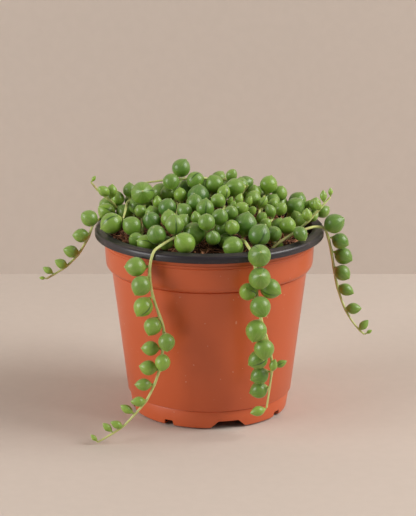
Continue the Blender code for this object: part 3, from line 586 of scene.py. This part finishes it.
def lay_out():
    """Lays every strand out, then settles them clear of each other, the soil and the pot."""
    front = front_strands()
    strands = {**front, **back_strands(front)}
    centres, radii, ways, owner, anchor = [], [], [], [], []
    nodes, node_owner, node_home, node_firm, chains = [], [], [], [], {}
    roots = []
    for index, (name, strand) in enumerate(strands.items()):
        heap, run = strand["pearls"], strand["run"]
        stops = [p - way * (size / 2 + PETIOLE) for p, size, way in heap]
        start = sum(stops, Vector()) / len(stops) if stops else run[0] * 0.93
        if run and stops:
            start = min(stops, key=lambda p: p.xy.length) * 0.94
        flat = Vector((start.x, start.y, 0))
        if flat.length > ROOT_RADIUS:
            flat = flat * (ROOT_RADIUS / flat.length)
        for other in roots:
            apart = flat - other
            if apart.length < ROOT_GAP:
                flat += apart.normalized() * (4.4 - apart.length)
        roots.append(flat)
        top = Vector((flat.x, flat.y, soil_height(flat.x, flat.y) + 0.6))
        end = run[0] if run else None
        order = shortest_order(top, stops, end)
        heap = [heap[k] for k in order]
        knots = [top, top + Vector((0, 0, 1.6))] + [stops[k] for k in order] + run
        line = smooth_line(knots, NODE_STEP)
        first = len(nodes)
        chains[name] = (first, len(line), flat)
        run_from = first + len(line)
        if run:
            run_from = first + min(range(len(line)), key=lambda k: (line[k] - end).length)
        for k, point in enumerate(line):
            nodes.append(point)
            node_owner.append(index)
            node_home.append(first + k >= run_from)
            node_firm.append(k < 2)
        used = set()
        for p, size, way in heap + strand["run_pearls"]:
            aim = p - way * (size / 2 + PETIOLE)
            free = [k for k in range(2, len(line)) if k not in used]
            near = min(free, key=lambda k: (line[k] - aim).length)
            used.update((near - 1, near, near + 1) if size > LARGE_LEAF else (near,))
            centres.append(p)
            radii.append(size / 2)
            ways.append(way)
            owner.append(index)
            anchor.append(first + near)
    return settle(centres, radii, ways, owner, anchor, nodes, node_owner, node_home, node_firm, chains)


def push_from_pot(points, room):
    """Gives the moves that take points out of the pot's wall and lip."""
    outline = np.array([
        (0, -9), (39.9, -9), (41.3, 8.8), (42.6, 9), (50, 75.2), (53.8, 81), (55, 92.6),
        (55.2, 93.9), (60.05, 93.8), (60.05, 98.05), (53.9, 98.05), (53.9, 85), (0, 85),
    ])
    radial = np.hypot(points[:, 0], points[:, 1])
    flat = np.stack([radial, points[:, 2]], axis=1)
    best = np.full(len(flat), np.inf)
    nearest = np.zeros_like(flat)
    inside = np.zeros(len(flat), dtype=bool)
    for a, b in zip(outline, np.roll(outline, -1, axis=0)):
        run = b - a
        t = np.clip(((flat - a) @ run) / (run @ run), 0, 1)
        foot = a + t[:, None] * run
        away = np.hypot(*(flat - foot).T)
        closer = away < best
        best[closer] = away[closer]
        nearest[closer] = foot[closer]
        crosses = (a[1] > flat[:, 1]) != (b[1] > flat[:, 1])
        edge = a[0] + (flat[:, 1] - a[1]) / ((b[1] - a[1]) or 1e-9) * run[0]
        inside ^= crosses & (flat[:, 0] < edge)
    signed = np.where(inside, -best, best)
    short = np.maximum(0, room - signed)
    out = flat - nearest
    size = np.maximum(np.hypot(*out.T), 1e-6)
    out = out / size[:, None] * np.where(inside, -1, 1)[:, None]
    move = out * short[:, None]
    turn = points[:, :2] / np.maximum(radial, 1e-6)[:, None]
    return np.concatenate([turn * move[:, :1], move[:, 1:]], axis=1)


def eased(way, sight, weight, slide):
    """Scales a push by a point's weight, and lets pearls slide along their sight lines."""
    along = (way * sight).sum(axis=1)[:, None] * sight
    return weight[:, None] * (way * (1 - slide)[:, None] + along * (slide * 2)[:, None])


def settle(centres, radii, ways, owner, anchor, nodes, node_owner, node_home, node_firm, chains):
    """Moves pearls and stems until all strands stand clear, and gives them back per strand."""
    pearls = len(centres)
    place = np.array([tuple(p) for p in centres + nodes])
    home = place.copy()
    size = np.concatenate([np.array(radii) * SWELL, np.full(len(nodes), STEM_RADIUS)])
    who = np.array(owner + node_owner)
    is_node = np.arange(len(place)) >= pearls
    weight = np.where(is_node, 1.0, PEARL_GIVE)
    weight[pearls:][np.array(node_firm)] = 0.0
    firmness = [TRAIL_HOLD if p.y < TRAIL_FRONT else HEAP_HOLD for p in centres]
    hold = np.concatenate([np.array(firmness), np.where(np.array(node_home), RUN_HOLD, STEM_HOLD)])
    anchors = np.array(anchor) + pearls
    way = np.array([tuple(w) for w in ways])
    reach = np.array(radii) + PETIOLE
    links = np.array([(pearls + first + k, pearls + first + k + 1)
                      for first, count, _ in chains.values() for k in range(count - 1)])
    rest = np.hypot.reduce(place[links[:, 0]] - place[links[:, 1]], axis=1)
    middles = np.array([(pearls + first + k - 1, pearls + first + k, pearls + first + k + 1)
                        for first, count, _ in chains.values() for k in range(2, count - 1)])
    sight = place - np.array(tuple(EYE))
    sight /= np.linalg.norm(sight, axis=1)[:, None]
    slide = np.where(is_node, 0.0, SLIDE)
    free = (weight > 0)[:, None]
    for step in range(SETTLE_STEPS):
        ease = max(LEAST_PULL, 1 - step / (SETTLE_STEPS * PULL_TIME))
        if step >= SETTLE_STEPS - FREE_STEPS:
            ease = 0.0
        off = home - place
        along = (off * sight).sum(axis=1)[:, None] * sight
        place += (off - SIGHT_PLAY * along) * (hold * ease)[:, None] * free
        low, mid, high = middles.T
        bend = (place[low] + place[high]) / 2 - place[mid]
        place[mid] += bend * 0.5 * free[mid]
        a, b = links.T
        gap = place[b] - place[a]
        far = np.linalg.norm(gap, axis=1)
        share = weight[a] + weight[b] + 1e-9
        pull = gap / far[:, None] * ((far - rest) / share * 0.5)[:, None]
        np.add.at(place, a, pull * weight[a][:, None])
        np.add.at(place, b, -pull * weight[b][:, None])
        aim = place[:pearls] - way * reach[:, None]
        shift = (aim - place[anchors]) * 0.12 * max(ease, 0.15)
        place[anchors] += shift * weight[anchors][:, None]
        place[:pearls] -= shift * 0.1
        stalk = place[:pearls] - place[anchors]
        far = np.linalg.norm(stalk, axis=1)
        stray = np.clip(far, reach - STALK_SLACK, reach + STALK_STRETCH) - far
        stalk = stalk / far[:, None] * (stray * 0.7)[:, None]
        place[:pearls] += stalk * 0.25
        place[anchors] -= stalk * 0.75 * weight[anchors][:, None]
        if step % LOOK_EVERY == 0:
            near = np.linalg.norm(place[:, None] - place[None], axis=2)
            first, second = np.nonzero(np.triu(near < size[:, None] + size[None] + LOOK_AROUND, 1))
            same = who[first] == who[second]
            chain = is_node[first] & is_node[second]
            keep = ~(same & chain & (second - first < OWN_CHAIN))
            stalked = same & ~is_node[first] & is_node[second]
            own = np.zeros(len(first), dtype=bool)
            own[stalked] = np.abs(anchors[first[stalked]] - second[stalked]) < OWN_STALK
            keep &= ~own
            first, second, same, chain = first[keep], second[keep], same[keep], chain[keep]
            beside_stem = is_node[first] | is_node[second]
            room = np.where(chain, STEM_GAP, np.where(beside_stem, CLEAR + 0.15, CLEAR))
            need = size[first] + size[second] + np.where(same, OWN_GAP, room)
        for _ in range(3):
            gap = place[second] - place[first]
            far = np.maximum(np.linalg.norm(gap, axis=1), 1e-6)
            short = np.maximum(0, need - far)
            gap /= far[:, None]
            give_first = eased(gap, sight[first], weight[first], slide[first])
            give_second = eased(gap, sight[second], weight[second], slide[second])
            share = (gap * (give_first + give_second)).sum(axis=1) + 1e-9
            step_size = (short / share * PUSH)[:, None]
            np.add.at(place, second, give_second * step_size)
            np.add.at(place, first, -give_first * step_size)
        place += push_from_pot(place, size + CLEAR) * free
        ground = soil_height(place[:, 0], place[:, 1]) + size + CLEAR + 0.2
        inner = np.hypot(place[:, 0], place[:, 1]) < SOIL_RADIUS
        place[:, 2] += np.where(inner, np.maximum(0, ground - place[:, 2]), 0) * free[:, 0]
        place[:, 2] = np.maximum(place[:, 2], size + 0.05)
    result = {}
    for name, (first, count, flat) in chains.items():
        line = [Vector(p) for p in place[pearls + first:pearls + first + count]]
        result[name] = {"root": flat, "line": line, "pearls": []}
    names = list(chains)
    for k in range(pearls):
        line = place[k] - place[anchors[k]]
        line /= np.linalg.norm(line)
        others = (who != owner[k]) | (~is_node & (np.arange(len(place)) != k))
        turned = way[k] * 0.75 + line * 0.25
        turned /= np.linalg.norm(turned)
        for aim, point in ((turned, POINT), (line, POINT), (line, SHORT_POINT), (line, SHORTEST_POINT)):
            tip = place[k] + aim * radii[k] * point
            room = np.linalg.norm(place[others] - tip, axis=1) - size[others]
            wall = np.abs(push_from_pot(tip[None], np.array([CLEAR]))).max()
            if room.min() > CLEAR and wall < 1e-6 and tip[2] > 0.05 and aim @ line > 0.2:
                break
        result[names[owner[k]]]["pearls"].append(
            (Vector(place[k]), radii[k], Vector(place[anchors[k]]), Vector(aim), point))
    return result


# Pot: a thin moulded nursery pot of two-colour plastic, terracotta outside and black inside, whose black
# lip is turned out and down and has a thin split. The foot has eight drain notches, two of them wide.
POT_STEPS = 128
FIRST_NOTCH_DEG = 14.0
LARGE_NOTCH = (21.5, 10.5, 4.0)
SMALL_NOTCH = (6.4, 4.6, 2.9)
NOTCH_RADIUS = 39.25
NOTCH_DEPTH = 9.5
SPLIT_DEG = -118.9
SPLIT_PLACE = (59.5, 0, 96.0)
SPLIT_SIZE = (3.5, 0.8, 6.0, 1)
BLACK_FROM = 93.4
BLACK_INSIDE = 54.1
BLACK_FLOOR = 41.5
FOOT_HEIGHT = 5.0
POT_OUTSIDE = [
    (0, 0), (11, 0), (11.5, 0.6), (12.6, 4.2), (13.4, 4.6), (35.6, 4.6), (36.2, 4.2), (36.7, 0.5),
    (37.1, 0), (40.3, 0), (40.9, 0.5), (42.3, 9.2), (42.1, 9.6), (43, 9.95), (43.3, 10.4),
    (46.9, 40), (51.35, 75.8), (51, 76.2), (51.15, 76.6), (52.1, 76.7), (53.2, 77.1), (54.1, 78.4),
    (54.4, 80), (54.5, 82.2), (55, 89.3), (54.8, 89.55), (55.25, 89.9), (55.3, 90.9), (55.1, 91.1),
    (55.2, 92.3), (55.3, 92.5), (55, 92.8), (55, 96.5), (55.4, 96.9), (58.2, 96.8), (58.8, 96.3),
    (59, 95.8), (59, 94.1),
]
POT_INSIDE = [
    (59.2, 93.9), (59.8, 93.9), (60, 94.1), (60, 96.2), (59.75, 97), (59.2, 97.5), (58.4, 97.65),
    (57.1, 97.65), (56.7, 97.95), (54.9, 98), (54.3, 97.7), (54, 97), (53.9, 92.5), (53.4, 82),
    (52.9, 79), (51.6, 77.4), (50.3, 76.8), (49.9, 75.4), (42.3, 11.2), (41.2, 10.4), (40, 1.1),
    (37.9, 1.1), (37, 5.4), (36.3, 5.6), (12.6, 5.6), (11.8, 5.2), (10.3, 1), (0, 1),
]


def worked_out(made):
    """Gives an object's mesh as its modifiers or its bevel make it."""
    return bpy.data.meshes.new_from_object(made.evaluated_get(bpy.context.evaluated_depsgraph_get()))


def spun(profile, steps):
    """Spins a profile of (radius, height) into a closed mesh with outward faces."""
    shape = bmesh.new()
    dots = [shape.verts.new((r * MM, 0, z * MM)) for r, z in profile]
    edges = [shape.edges.new(pair) for pair in zip(dots, dots[1:])]
    bmesh.ops.spin(shape, geom=dots + edges, cent=(0, 0, 0), axis=(0, 0, 1), angle=math.tau,
                   steps=steps, use_merge=True)
    bmesh.ops.remove_doubles(shape, verts=shape.verts, dist=1e-6)
    bmesh.ops.recalc_face_normals(shape, faces=shape.faces)
    return shape


terracotta = Finish("terracotta_plastic", 0.38, Coat_Weight=0.22, Coat_Roughness=0.36)
mottle = terracotta.cloud(28.0, 4.0)
specks = terracotta.cloud(620.0, 0.0).between(0.835, 0.86)
shell_colour = mottle.blend((0.545, 0.096, 0.024), (0.625, 0.116, 0.031))
terracotta.feed("Base Color", (specks * 0.3).blend(shell_colour, (0.75, 0.55, 0.42)))
terracotta.feed("Roughness", mottle * 0.12 + 0.34)
terracotta.bump(terracotta.cloud(60.0, 3.0), 0.00025, 0.35)

black = Finish("black_plastic", 0.3, Coat_Weight=0.15, Coat_Roughness=0.25)
dust = black.cloud(500.0, 2.0).between(0.62, 0.74)
black.feed("Base Color", (dust * 0.22).blend((0.020, 0.016, 0.021), (0.16, 0.12, 0.12)))
black.feed("Roughness", black.cloud(90.0, 3.0) * 0.2 + 0.27)
black.bump(black.cloud(180.0, 2.0), 0.0002, 0.3)

shell = spun(POT_OUTSIDE + POT_INSIDE, POT_STEPS)
for face in shell.faces:
    middle = face.calc_center_median() / MM
    radius = middle.xy.length
    inwards = face.normal.x * middle.x + face.normal.y * middle.y < -0.15 * radius
    inner_floor = face.normal.z > 0.5 and radius < BLACK_FLOOR
    inner_wall = inwards and middle.z > FOOT_HEIGHT and radius < BLACK_INSIDE
    if middle.z > BLACK_FROM or inner_floor or inner_wall:
        face.material_index = 1
pot = as_piece("nursery_pot", shell, [terracotta.material, black.material])

notches = bmesh.new()
for k in range(8):
    base, top, tall = LARGE_NOTCH if k % 4 == 0 else SMALL_NOTCH
    block = bmesh.ops.create_cube(notches, size=1.0)["verts"]
    for dot in block:
        dot.co.y *= base if dot.co.z < 0 else top
        dot.co.z = -1.0 if dot.co.z < 0 else tall
        dot.co.x = NOTCH_RADIUS + dot.co.x * NOTCH_DEPTH
    turn = Matrix.Rotation(math.radians(-90 + FIRST_NOTCH_DEG + 45 * k), 4, "Z")
    bmesh.ops.transform(notches, matrix=turn, verts=block)
split = bmesh.ops.create_cube(notches, size=1.0)["verts"]
thin = Matrix.Translation(SPLIT_PLACE) @ Matrix.Diagonal(SPLIT_SIZE)
bmesh.ops.transform(notches, matrix=Matrix.Rotation(math.radians(SPLIT_DEG), 4, "Z") @ thin, verts=split)
bmesh.ops.scale(notches, vec=(MM, MM, MM), verts=notches.verts)
notch_block = as_piece("notch_block", notches, [])
cut = pot.modifiers.new("drain_notches", "BOOLEAN")
cut.operation = "DIFFERENCE"
cut.object = notch_block
cut_pot = worked_out(pot)
pot.modifiers.clear()
pot.data = cut_pot
bpy.data.objects.remove(notch_block)
pot.data.set_sharp_from_angle(angle=math.radians(38))
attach(pot, "root")
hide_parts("pot")

# Soil: a plug of shredded coco fibre, moist and dark, mounded a little above the lip, with curled
# strips and threads of the fibre on it.
SOIL_OUTSIDE = [(53, 88.5), (52.2, 82), (48.3, 76), (39.6, 10.6), (38.9, 6.1), (0, 6.1)]
CHIP_COUNT = 1500
CHIP_RADIUS = 50.5
CHIP_LIMIT = 52.5
EDGE_RISE_FROM = 36.0
EDGE_RISE = 0.2


def clamped(value):
    """Keeps a value from 0 to 1."""
    return min(1.0, max(0.0, value))


coco = Finish("coco_fibre", 0.9)
clumps = coco.cloud(240.0, 4.0)
coco.feed("Base Color", clumps.between(0.35, 0.7).blend((0.016, 0.008, 0.006), (0.15, 0.055, 0.026)))
coco.bump(coco.cloud(500.0, 4.0), 0.0012, 0.9)
husk = Finish("coco_chips", 0.75)
husk.feed("Base Color", husk.held("tone").blend((0.12, 0.038, 0.019), (0.80, 0.36, 0.19)))
husk.bump(husk.cloud(900.0, 2.0), 0.0004, 0.6)

bed = spun([(r, SOIL_EDGE + 1) for r in np.linspace(0, 52.2, 46)] + SOIL_OUTSIDE, 120)
for dot in bed.verts:
    if dot.co.z > (SOIL_EDGE - 0.1) * MM:
        crumb = noise.noise(dot.co * 420) * 0.7 + noise.noise(dot.co * 1100) * 0.45
        edge = clamped((SOIL_RADIUS - dot.co.xy.length / MM) / 3)
        dot.co.z = (soil_height(dot.co.x / MM, dot.co.y / MM) + crumb * edge - 0.25) * MM
soil = as_piece("coco_soil", bed, [coco.material])
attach(soil, "root")
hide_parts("soil")


def curled_strip(length, width, thick, bend, twist):
    """Makes one strip of fibre along X that arches and turns along its length."""
    strip = bmesh.new()
    bmesh.ops.create_grid(strip, x_segments=5, y_segments=1, size=0.5)
    for dot in strip.verts:
        x = dot.co.x
        across = Vector((0, dot.co.y * width * (1.15 - 1.1 * abs(x)), 0))
        across.rotate(Matrix.Rotation(twist * x, 3, "X"))
        dot.co = Vector((x * length, 0, bend * length * (0.25 - x * x))) + across
    bmesh.ops.solidify(strip, geom=strip.faces, thickness=thick)
    bmesh.ops.recalc_face_normals(strip, faces=strip.faces)
    return as_mesh("strip", strip)


rng = random.Random(11)
strips = [curled_strip(rng.uniform(4.5, 9.0), rng.uniform(0.5, 1.5), 0.25, rng.uniform(-0.5, 0.7),
                       rng.uniform(-2.4, 2.4)) for _ in range(16)]
strips += [curled_strip(rng.uniform(5.0, 11.0), 0.34, 0.28, rng.uniform(-0.7, 0.7), 0.4) for _ in range(12)]
chips = bmesh.new()
tone = chips.verts.layers.float.new("tone")
for k in range(CHIP_COUNT):
    angle, radius = rng.uniform(0, math.tau), CHIP_RADIUS * math.sqrt(rng.uniform(0.05, 1.0))
    x, y = radius * math.cos(angle), radius * math.sin(angle)
    first = len(chips.verts)
    chips.from_mesh(rng.choice(strips))
    chips.verts.ensure_lookup_table()
    dots = chips.verts[first:]
    turn = (Matrix.Rotation(rng.uniform(0, math.tau), 4, "Z") @ Matrix.Rotation(rng.gauss(0, 0.3), 4, "Y")
            @ Matrix.Rotation(rng.uniform(-0.7, 0.7), 4, "X"))
    lift = soil_height(x, y) + rng.uniform(0.0, 1.5) + max(0.0, radius - EDGE_RISE_FROM) * EDGE_RISE
    place = Matrix.Scale(MM, 4) @ Matrix.Translation((x, y, lift)) @ turn
    bmesh.ops.transform(chips, matrix=place @ Matrix.Scale(rng.uniform(0.6, 1), 4), verts=dots)
    shade = rng.random() ** 1.2
    for dot in dots:
        dot[tone] = shade
for mesh in strips:
    bpy.data.meshes.remove(mesh)
for dot in chips.verts:
    reach = dot.co.xy.length / MM
    if reach > CHIP_LIMIT:
        dot.co.xy *= CHIP_LIMIT / reach
coco_chips = as_piece("coco_chips", chips, [husk.material])
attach(coco_chips, "root")

# Strands: each is one thin stem that roots in the soil, with its fleshy round leaves. A leaf is a bead of
# clear flesh in a thin green skin, with a pale point, a short stalk and one dark see-through slit. SLITS
# are the leaves whose slit shows from the front: their place there, and the slit's turn in degrees.
SLITS = [(-55, 8.7, 20), (-50.7, 0, 30), (-32.6, -9.8, 20), (-17, -0.4, 10), (-8, 23.5, 30), (26, -5.2, 22),
         (47, 15, 25), (27.8, 12.2, 0), (-2, 8.8, 5), (-35, -42.7, -38), (31.8, -32.8, 38),
         (25.2, -70.4, -30), (19.8, -34.6, 40), (7.6, 17.2, 30), (83.6, -55.6, 0), (38.2, -72.2, 0)]
SLIT_REACH = 2.6
YOUNG = ("left_trail", "left_tip", "front_left_trail", "right_tip", "small_middle")
# The strand whose leaves are drawn darker as painted shade, and whose stem above WOODY_FROM is woody brown.
PAINTED_SHADE_WOODY_STRAND = "right_trail"
WOODY_FROM = 94.0
STEM_BEVEL = 0.9
STEM_FOOT = 6.4
KNEE_REACH = 0.5
CAGE_SWELL = 1.12
CAGE_SIDES = 8
SLIT_HALF_WIDTH = 0.014

leaf = Finish("pearl_leaf", 0.36, Coat_Weight=0.36, Coat_Roughness=0.22, Subsurface_Weight=0.2,
              Subsurface_Scale=0.004, Specular_IOR_Level=0.42, Sheen_Weight=0.12, Sheen_Roughness=0.35)
leaf.shader.inputs["Subsurface Radius"].default_value = (0.5, 1.0, 0.2)
map_place = leaf.start.node("ShaderNodeUVMap", {"uv_map": "leaf"}, {})
around, along = (leaf.start.node("ShaderNodeSeparateXYZ", {}, {0: map_place}, axis) for axis in "XY")
# rise is each point's height within its leaf, 0 at the bottom and 1 at the top; the next two blends paint
# light by it.
rise = leaf.held("rise")
green = leaf.held("tone").blend((0.070, 0.185, 0.027), (0.215, 0.375, 0.042))
green = leaf.held("age").blend((0.32, 0.48, 0.075), green)
# Painted light: the lower half of each leaf turns a saturated yellow-green, as if lit through its flesh.
green = (0.55 * (1 - rise.between(0.0, 0.55))).blend(green, (0.185, 0.360, 0.008))
# Partly the leaf's own waxy bloom, partly a painted reflection: the top of each leaf turns paler and
# greyer.
green = (0.28 * rise.between(0.55, 1.0)).blend(green, (0.230, 0.330, 0.110))
blotch = leaf.cloud(260.0, 3.0).between(0.35, 0.7)
green = (blotch * 0.18).blend(green, (0.30, 0.43, 0.09))
ripple = around * 75.4 + leaf.cloud(500.0, 1.0) * 2.0
veins = leaf.start.math("SINE", ripple).between(0.5, 1.0)
veins = veins * along.between(0.4, 0.9) * (1 - along.between(0.88, 0.95))
green = (veins * 0.18).blend(green, (0.40, 0.53, 0.16))
off_slit = leaf.start.math("ABSOLUTE", around - 0.5)
slit_wide = leaf.start.math("SINE", along * math.pi) * SLIT_HALF_WIDTH
slit = 1 - (off_slit - slit_wide).between(-0.006, 0.007)
slit = slit * along.between(0.10, 0.22) * (1 - along.between(0.84, 0.95))
green = (slit * 0.75).blend(green, (0.026, 0.075, 0.020))
green = (0.7 * (1 - along.between(0.02, 0.16))).blend(green, (0.44, 0.52, 0.14))
leaf.feed("Base Color", (0.7 * along.between(0.95, 0.99)).blend(green, (0.60, 0.62, 0.26)))
leaf.feed("Roughness", 0.36 - slit * 0.08 + blotch * 0.06)
leaf.bump(veins * 0.2 - slit * 1.2, 0.00012, 0.6)

vine = Finish("stem_skin", 0.42, Subsurface_Weight=0.12, Subsurface_Scale=0.002)
skin = vine.cloud(300.0, 3.0).blend((0.48, 0.57, 0.14), (0.72, 0.77, 0.34))
woody = vine.held("tone") * vine.cloud(120.0, 2.0).between(0.35, 0.65)
vine.feed("Base Color", woody.blend(skin, (0.40, 0.27, 0.13)))


def bead(rng, centre, radius, root, aim, point, slit_way, hangs):
    """Makes one leaf's cage: stalk, bead and point, spun round its axis and set in place."""
    stalk = (centre - root).length
    thick = 0.48 if radius > 2.5 else 0.34
    young = clamped((3.7 + 0.5 * hangs - radius) / 1.6)
    fat = radius * CAGE_SWELL * (1 - 0.14 * young)
    long = radius * (1 + 0.26 * young)
    neck = min(1.08 * long, stalk - 0.25)
    nib = point * long
    dome = 1.1 if hangs or radius < 2.6 else rng.choice((0.3, 0.55, 0.8, 1.1))
    profile = [(0, -stalk - 0.2), (thick * 1.4, -stalk + 0.1), (thick, -0.5 * (stalk + neck)),
               (0.12 * fat + 0.5 * thick, -neck), ((0.47 - 0.1 * young) * fat, -0.84 * neck),
               ((0.88 - 0.1 * young) * fat, -0.52 * neck), (1.06 * fat, 0.0),
               ((0.89 - 0.1 * young) * fat, 0.56 * long),
               ((0.53 - 0.06 * dome - 0.1 * young) * fat, (0.865 + 0.05 * dome) * nib - 0.1 * long),
               ((0.13 + 0.03 * dome) * fat, (0.895 + 0.045 * dome) * nib),
               (0.05 * fat, (0.96 + 0.07 * dome) * nib), (0, (1.0 + 0.07 * dome) * nib)]
    shape = spun(profile, CAGE_SIDES)
    uv = shape.loops.layers.uv.new("leaf")
    low, high = -neck * MM, profile[-1][1] * MM
    for face in shape.faces:
        turns = [math.atan2(loop.vert.co.y, loop.vert.co.x) / math.tau + 0.5
                 if loop.vert.co.xy.length > 1e-6 else None for loop in face.loops]
        known = [t for t in turns if t is not None]
        wraps = max(known) - min(known) > 0.5
        middle = sum(t + (wraps and t < 0.5) for t in known) / len(known)
        for loop, turn in zip(face.loops, turns):
            turn = middle if turn is None else turn + (wraps and turn < 0.5)
            loop[uv].uv = (turn, clamped((loop.vert.co.z - low) / (high - low)))
    side = (slit_way - aim * slit_way.dot(aim)).normalized()
    turn = Matrix((side, aim.cross(side), aim)).transposed().to_4x4()
    squash = Matrix.Diagonal((rng.uniform(0.97, 1.02), rng.uniform(0.97, 1.02), 1, 1))
    bmesh.ops.transform(shape, matrix=Matrix.Translation(centre * MM) @ turn @ squash, verts=shape.verts)
    foot = centre - aim * neck
    for dot in shape.verts:
        down = (centre - dot.co / MM).dot(aim)
        if down > neck + 0.02:
            part = (down - neck) / (stalk + 0.2 - neck)
            straight = centre - aim * down
            dot.co += (foot.lerp(root, part) - straight) * MM
    return shape


def stem_mesh(name, line, joints):
    """Makes a stem's mesh, with a knee at each leaf and a thinner last quarter."""
    curve = bpy.data.curves.new(name, "CURVE")
    curve.dimensions = "3D"
    curve.bevel_depth = STEM_BEVEL * MM
    curve.bevel_resolution = 1
    curve.use_fill_caps = True
    near = [min((p - joint).length for joint in joints) for p in line]
    kept = [k for k in range(len(line)) if k % 2 == 0 or k == len(line) - 1 or near[k] < 0.4]
    run = curve.splines.new("POLY")
    run.points.add(len(kept) - 1)
    for spot, k in zip(run.points, kept):
        spot.co = (*(line[k] * MM), 1)
        along = k / (len(line) - 1)
        knee = 0.26 * (near[k] < KNEE_REACH)
        spot.radius = (1.04 - 0.2 * along + knee) * (1 - 0.3 * max(0.0, along * 4 - 3))
    made = in_scene(name, curve)
    mesh = worked_out(made)
    bpy.data.objects.remove(made)
    return mesh


rng = random.Random(5)
for name, strand in lay_out().items():
    root = strand["root"]
    ground = soil_height(root.x, root.y)
    line = [Vector((root.x, root.y, ground - down)) for down in (STEM_FOOT, 2)] + strand["line"]
    whole = bmesh.new()
    whole.from_mesh(stem_mesh(name + "_stem", line, [pearl[2] for pearl in strand["pearls"]]))
    bmesh.ops.remove_doubles(whole, verts=whole.verts, dist=1e-6)
    layers = [whole.verts.layers.float.new(key) for key in ("tone", "age", "rise")]
    tone_layer, age_layer, rise_layer = layers
    for face in whole.faces:
        face.material_index = 1
    for dot in whole.verts:
        dot[tone_layer] = 0.6 if dot.co.z > WOODY_FROM * MM and name == PAINTED_SHADE_WOODY_STRAND else 0.12
    for centre, radius, joint, aim, point in strand["pearls"]:
        slit_way = Vector((rng.uniform(-1, 1), rng.uniform(0.2, 1), rng.uniform(-0.4, 0.5)))
        off, slit_turn = min((math.dist(place_of(centre), place[:2]), place[2]) for place in SLITS)
        if off < SLIT_REACH:
            slit_way = Matrix.Rotation(math.radians(slit_turn), 3, aim) @ (EYE - centre)
        shape = bead(rng, centre, radius, joint, aim, point, slit_way, name.endswith("trail"))
        piece = as_mesh("bead", shape)
        first = len(whole.verts)
        whole.from_mesh(piece)
        bpy.data.meshes.remove(piece)
        whole.verts.ensure_lookup_table()
        # Painted shade: the right trail's leaves get a darker tone.
        shade = rng.random() * (0.4 if name == PAINTED_SHADE_WOODY_STRAND else 1.0)
        ripe = clamped((radius - 1.2) / 3.2) * (0.62 if name in YOUNG else 1.0)
        for dot in whole.verts[first:]:
            dot[tone_layer] = shade
            dot[age_layer] = ripe
            # Each point's height within its leaf, which the leaf material reads for its painted light below
            # and painted reflection on top.
            dot[rise_layer] = clamped(0.5 + (dot.co.z / MM - centre.z) / radius / 2)
    grown = as_piece(name, whole, [leaf.material, vine.material])
    soft = grown.modifiers.new("soft", "SUBSURF")
    soft.levels = soft.render_levels = 2
    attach(grown, "root")
    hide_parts(name)
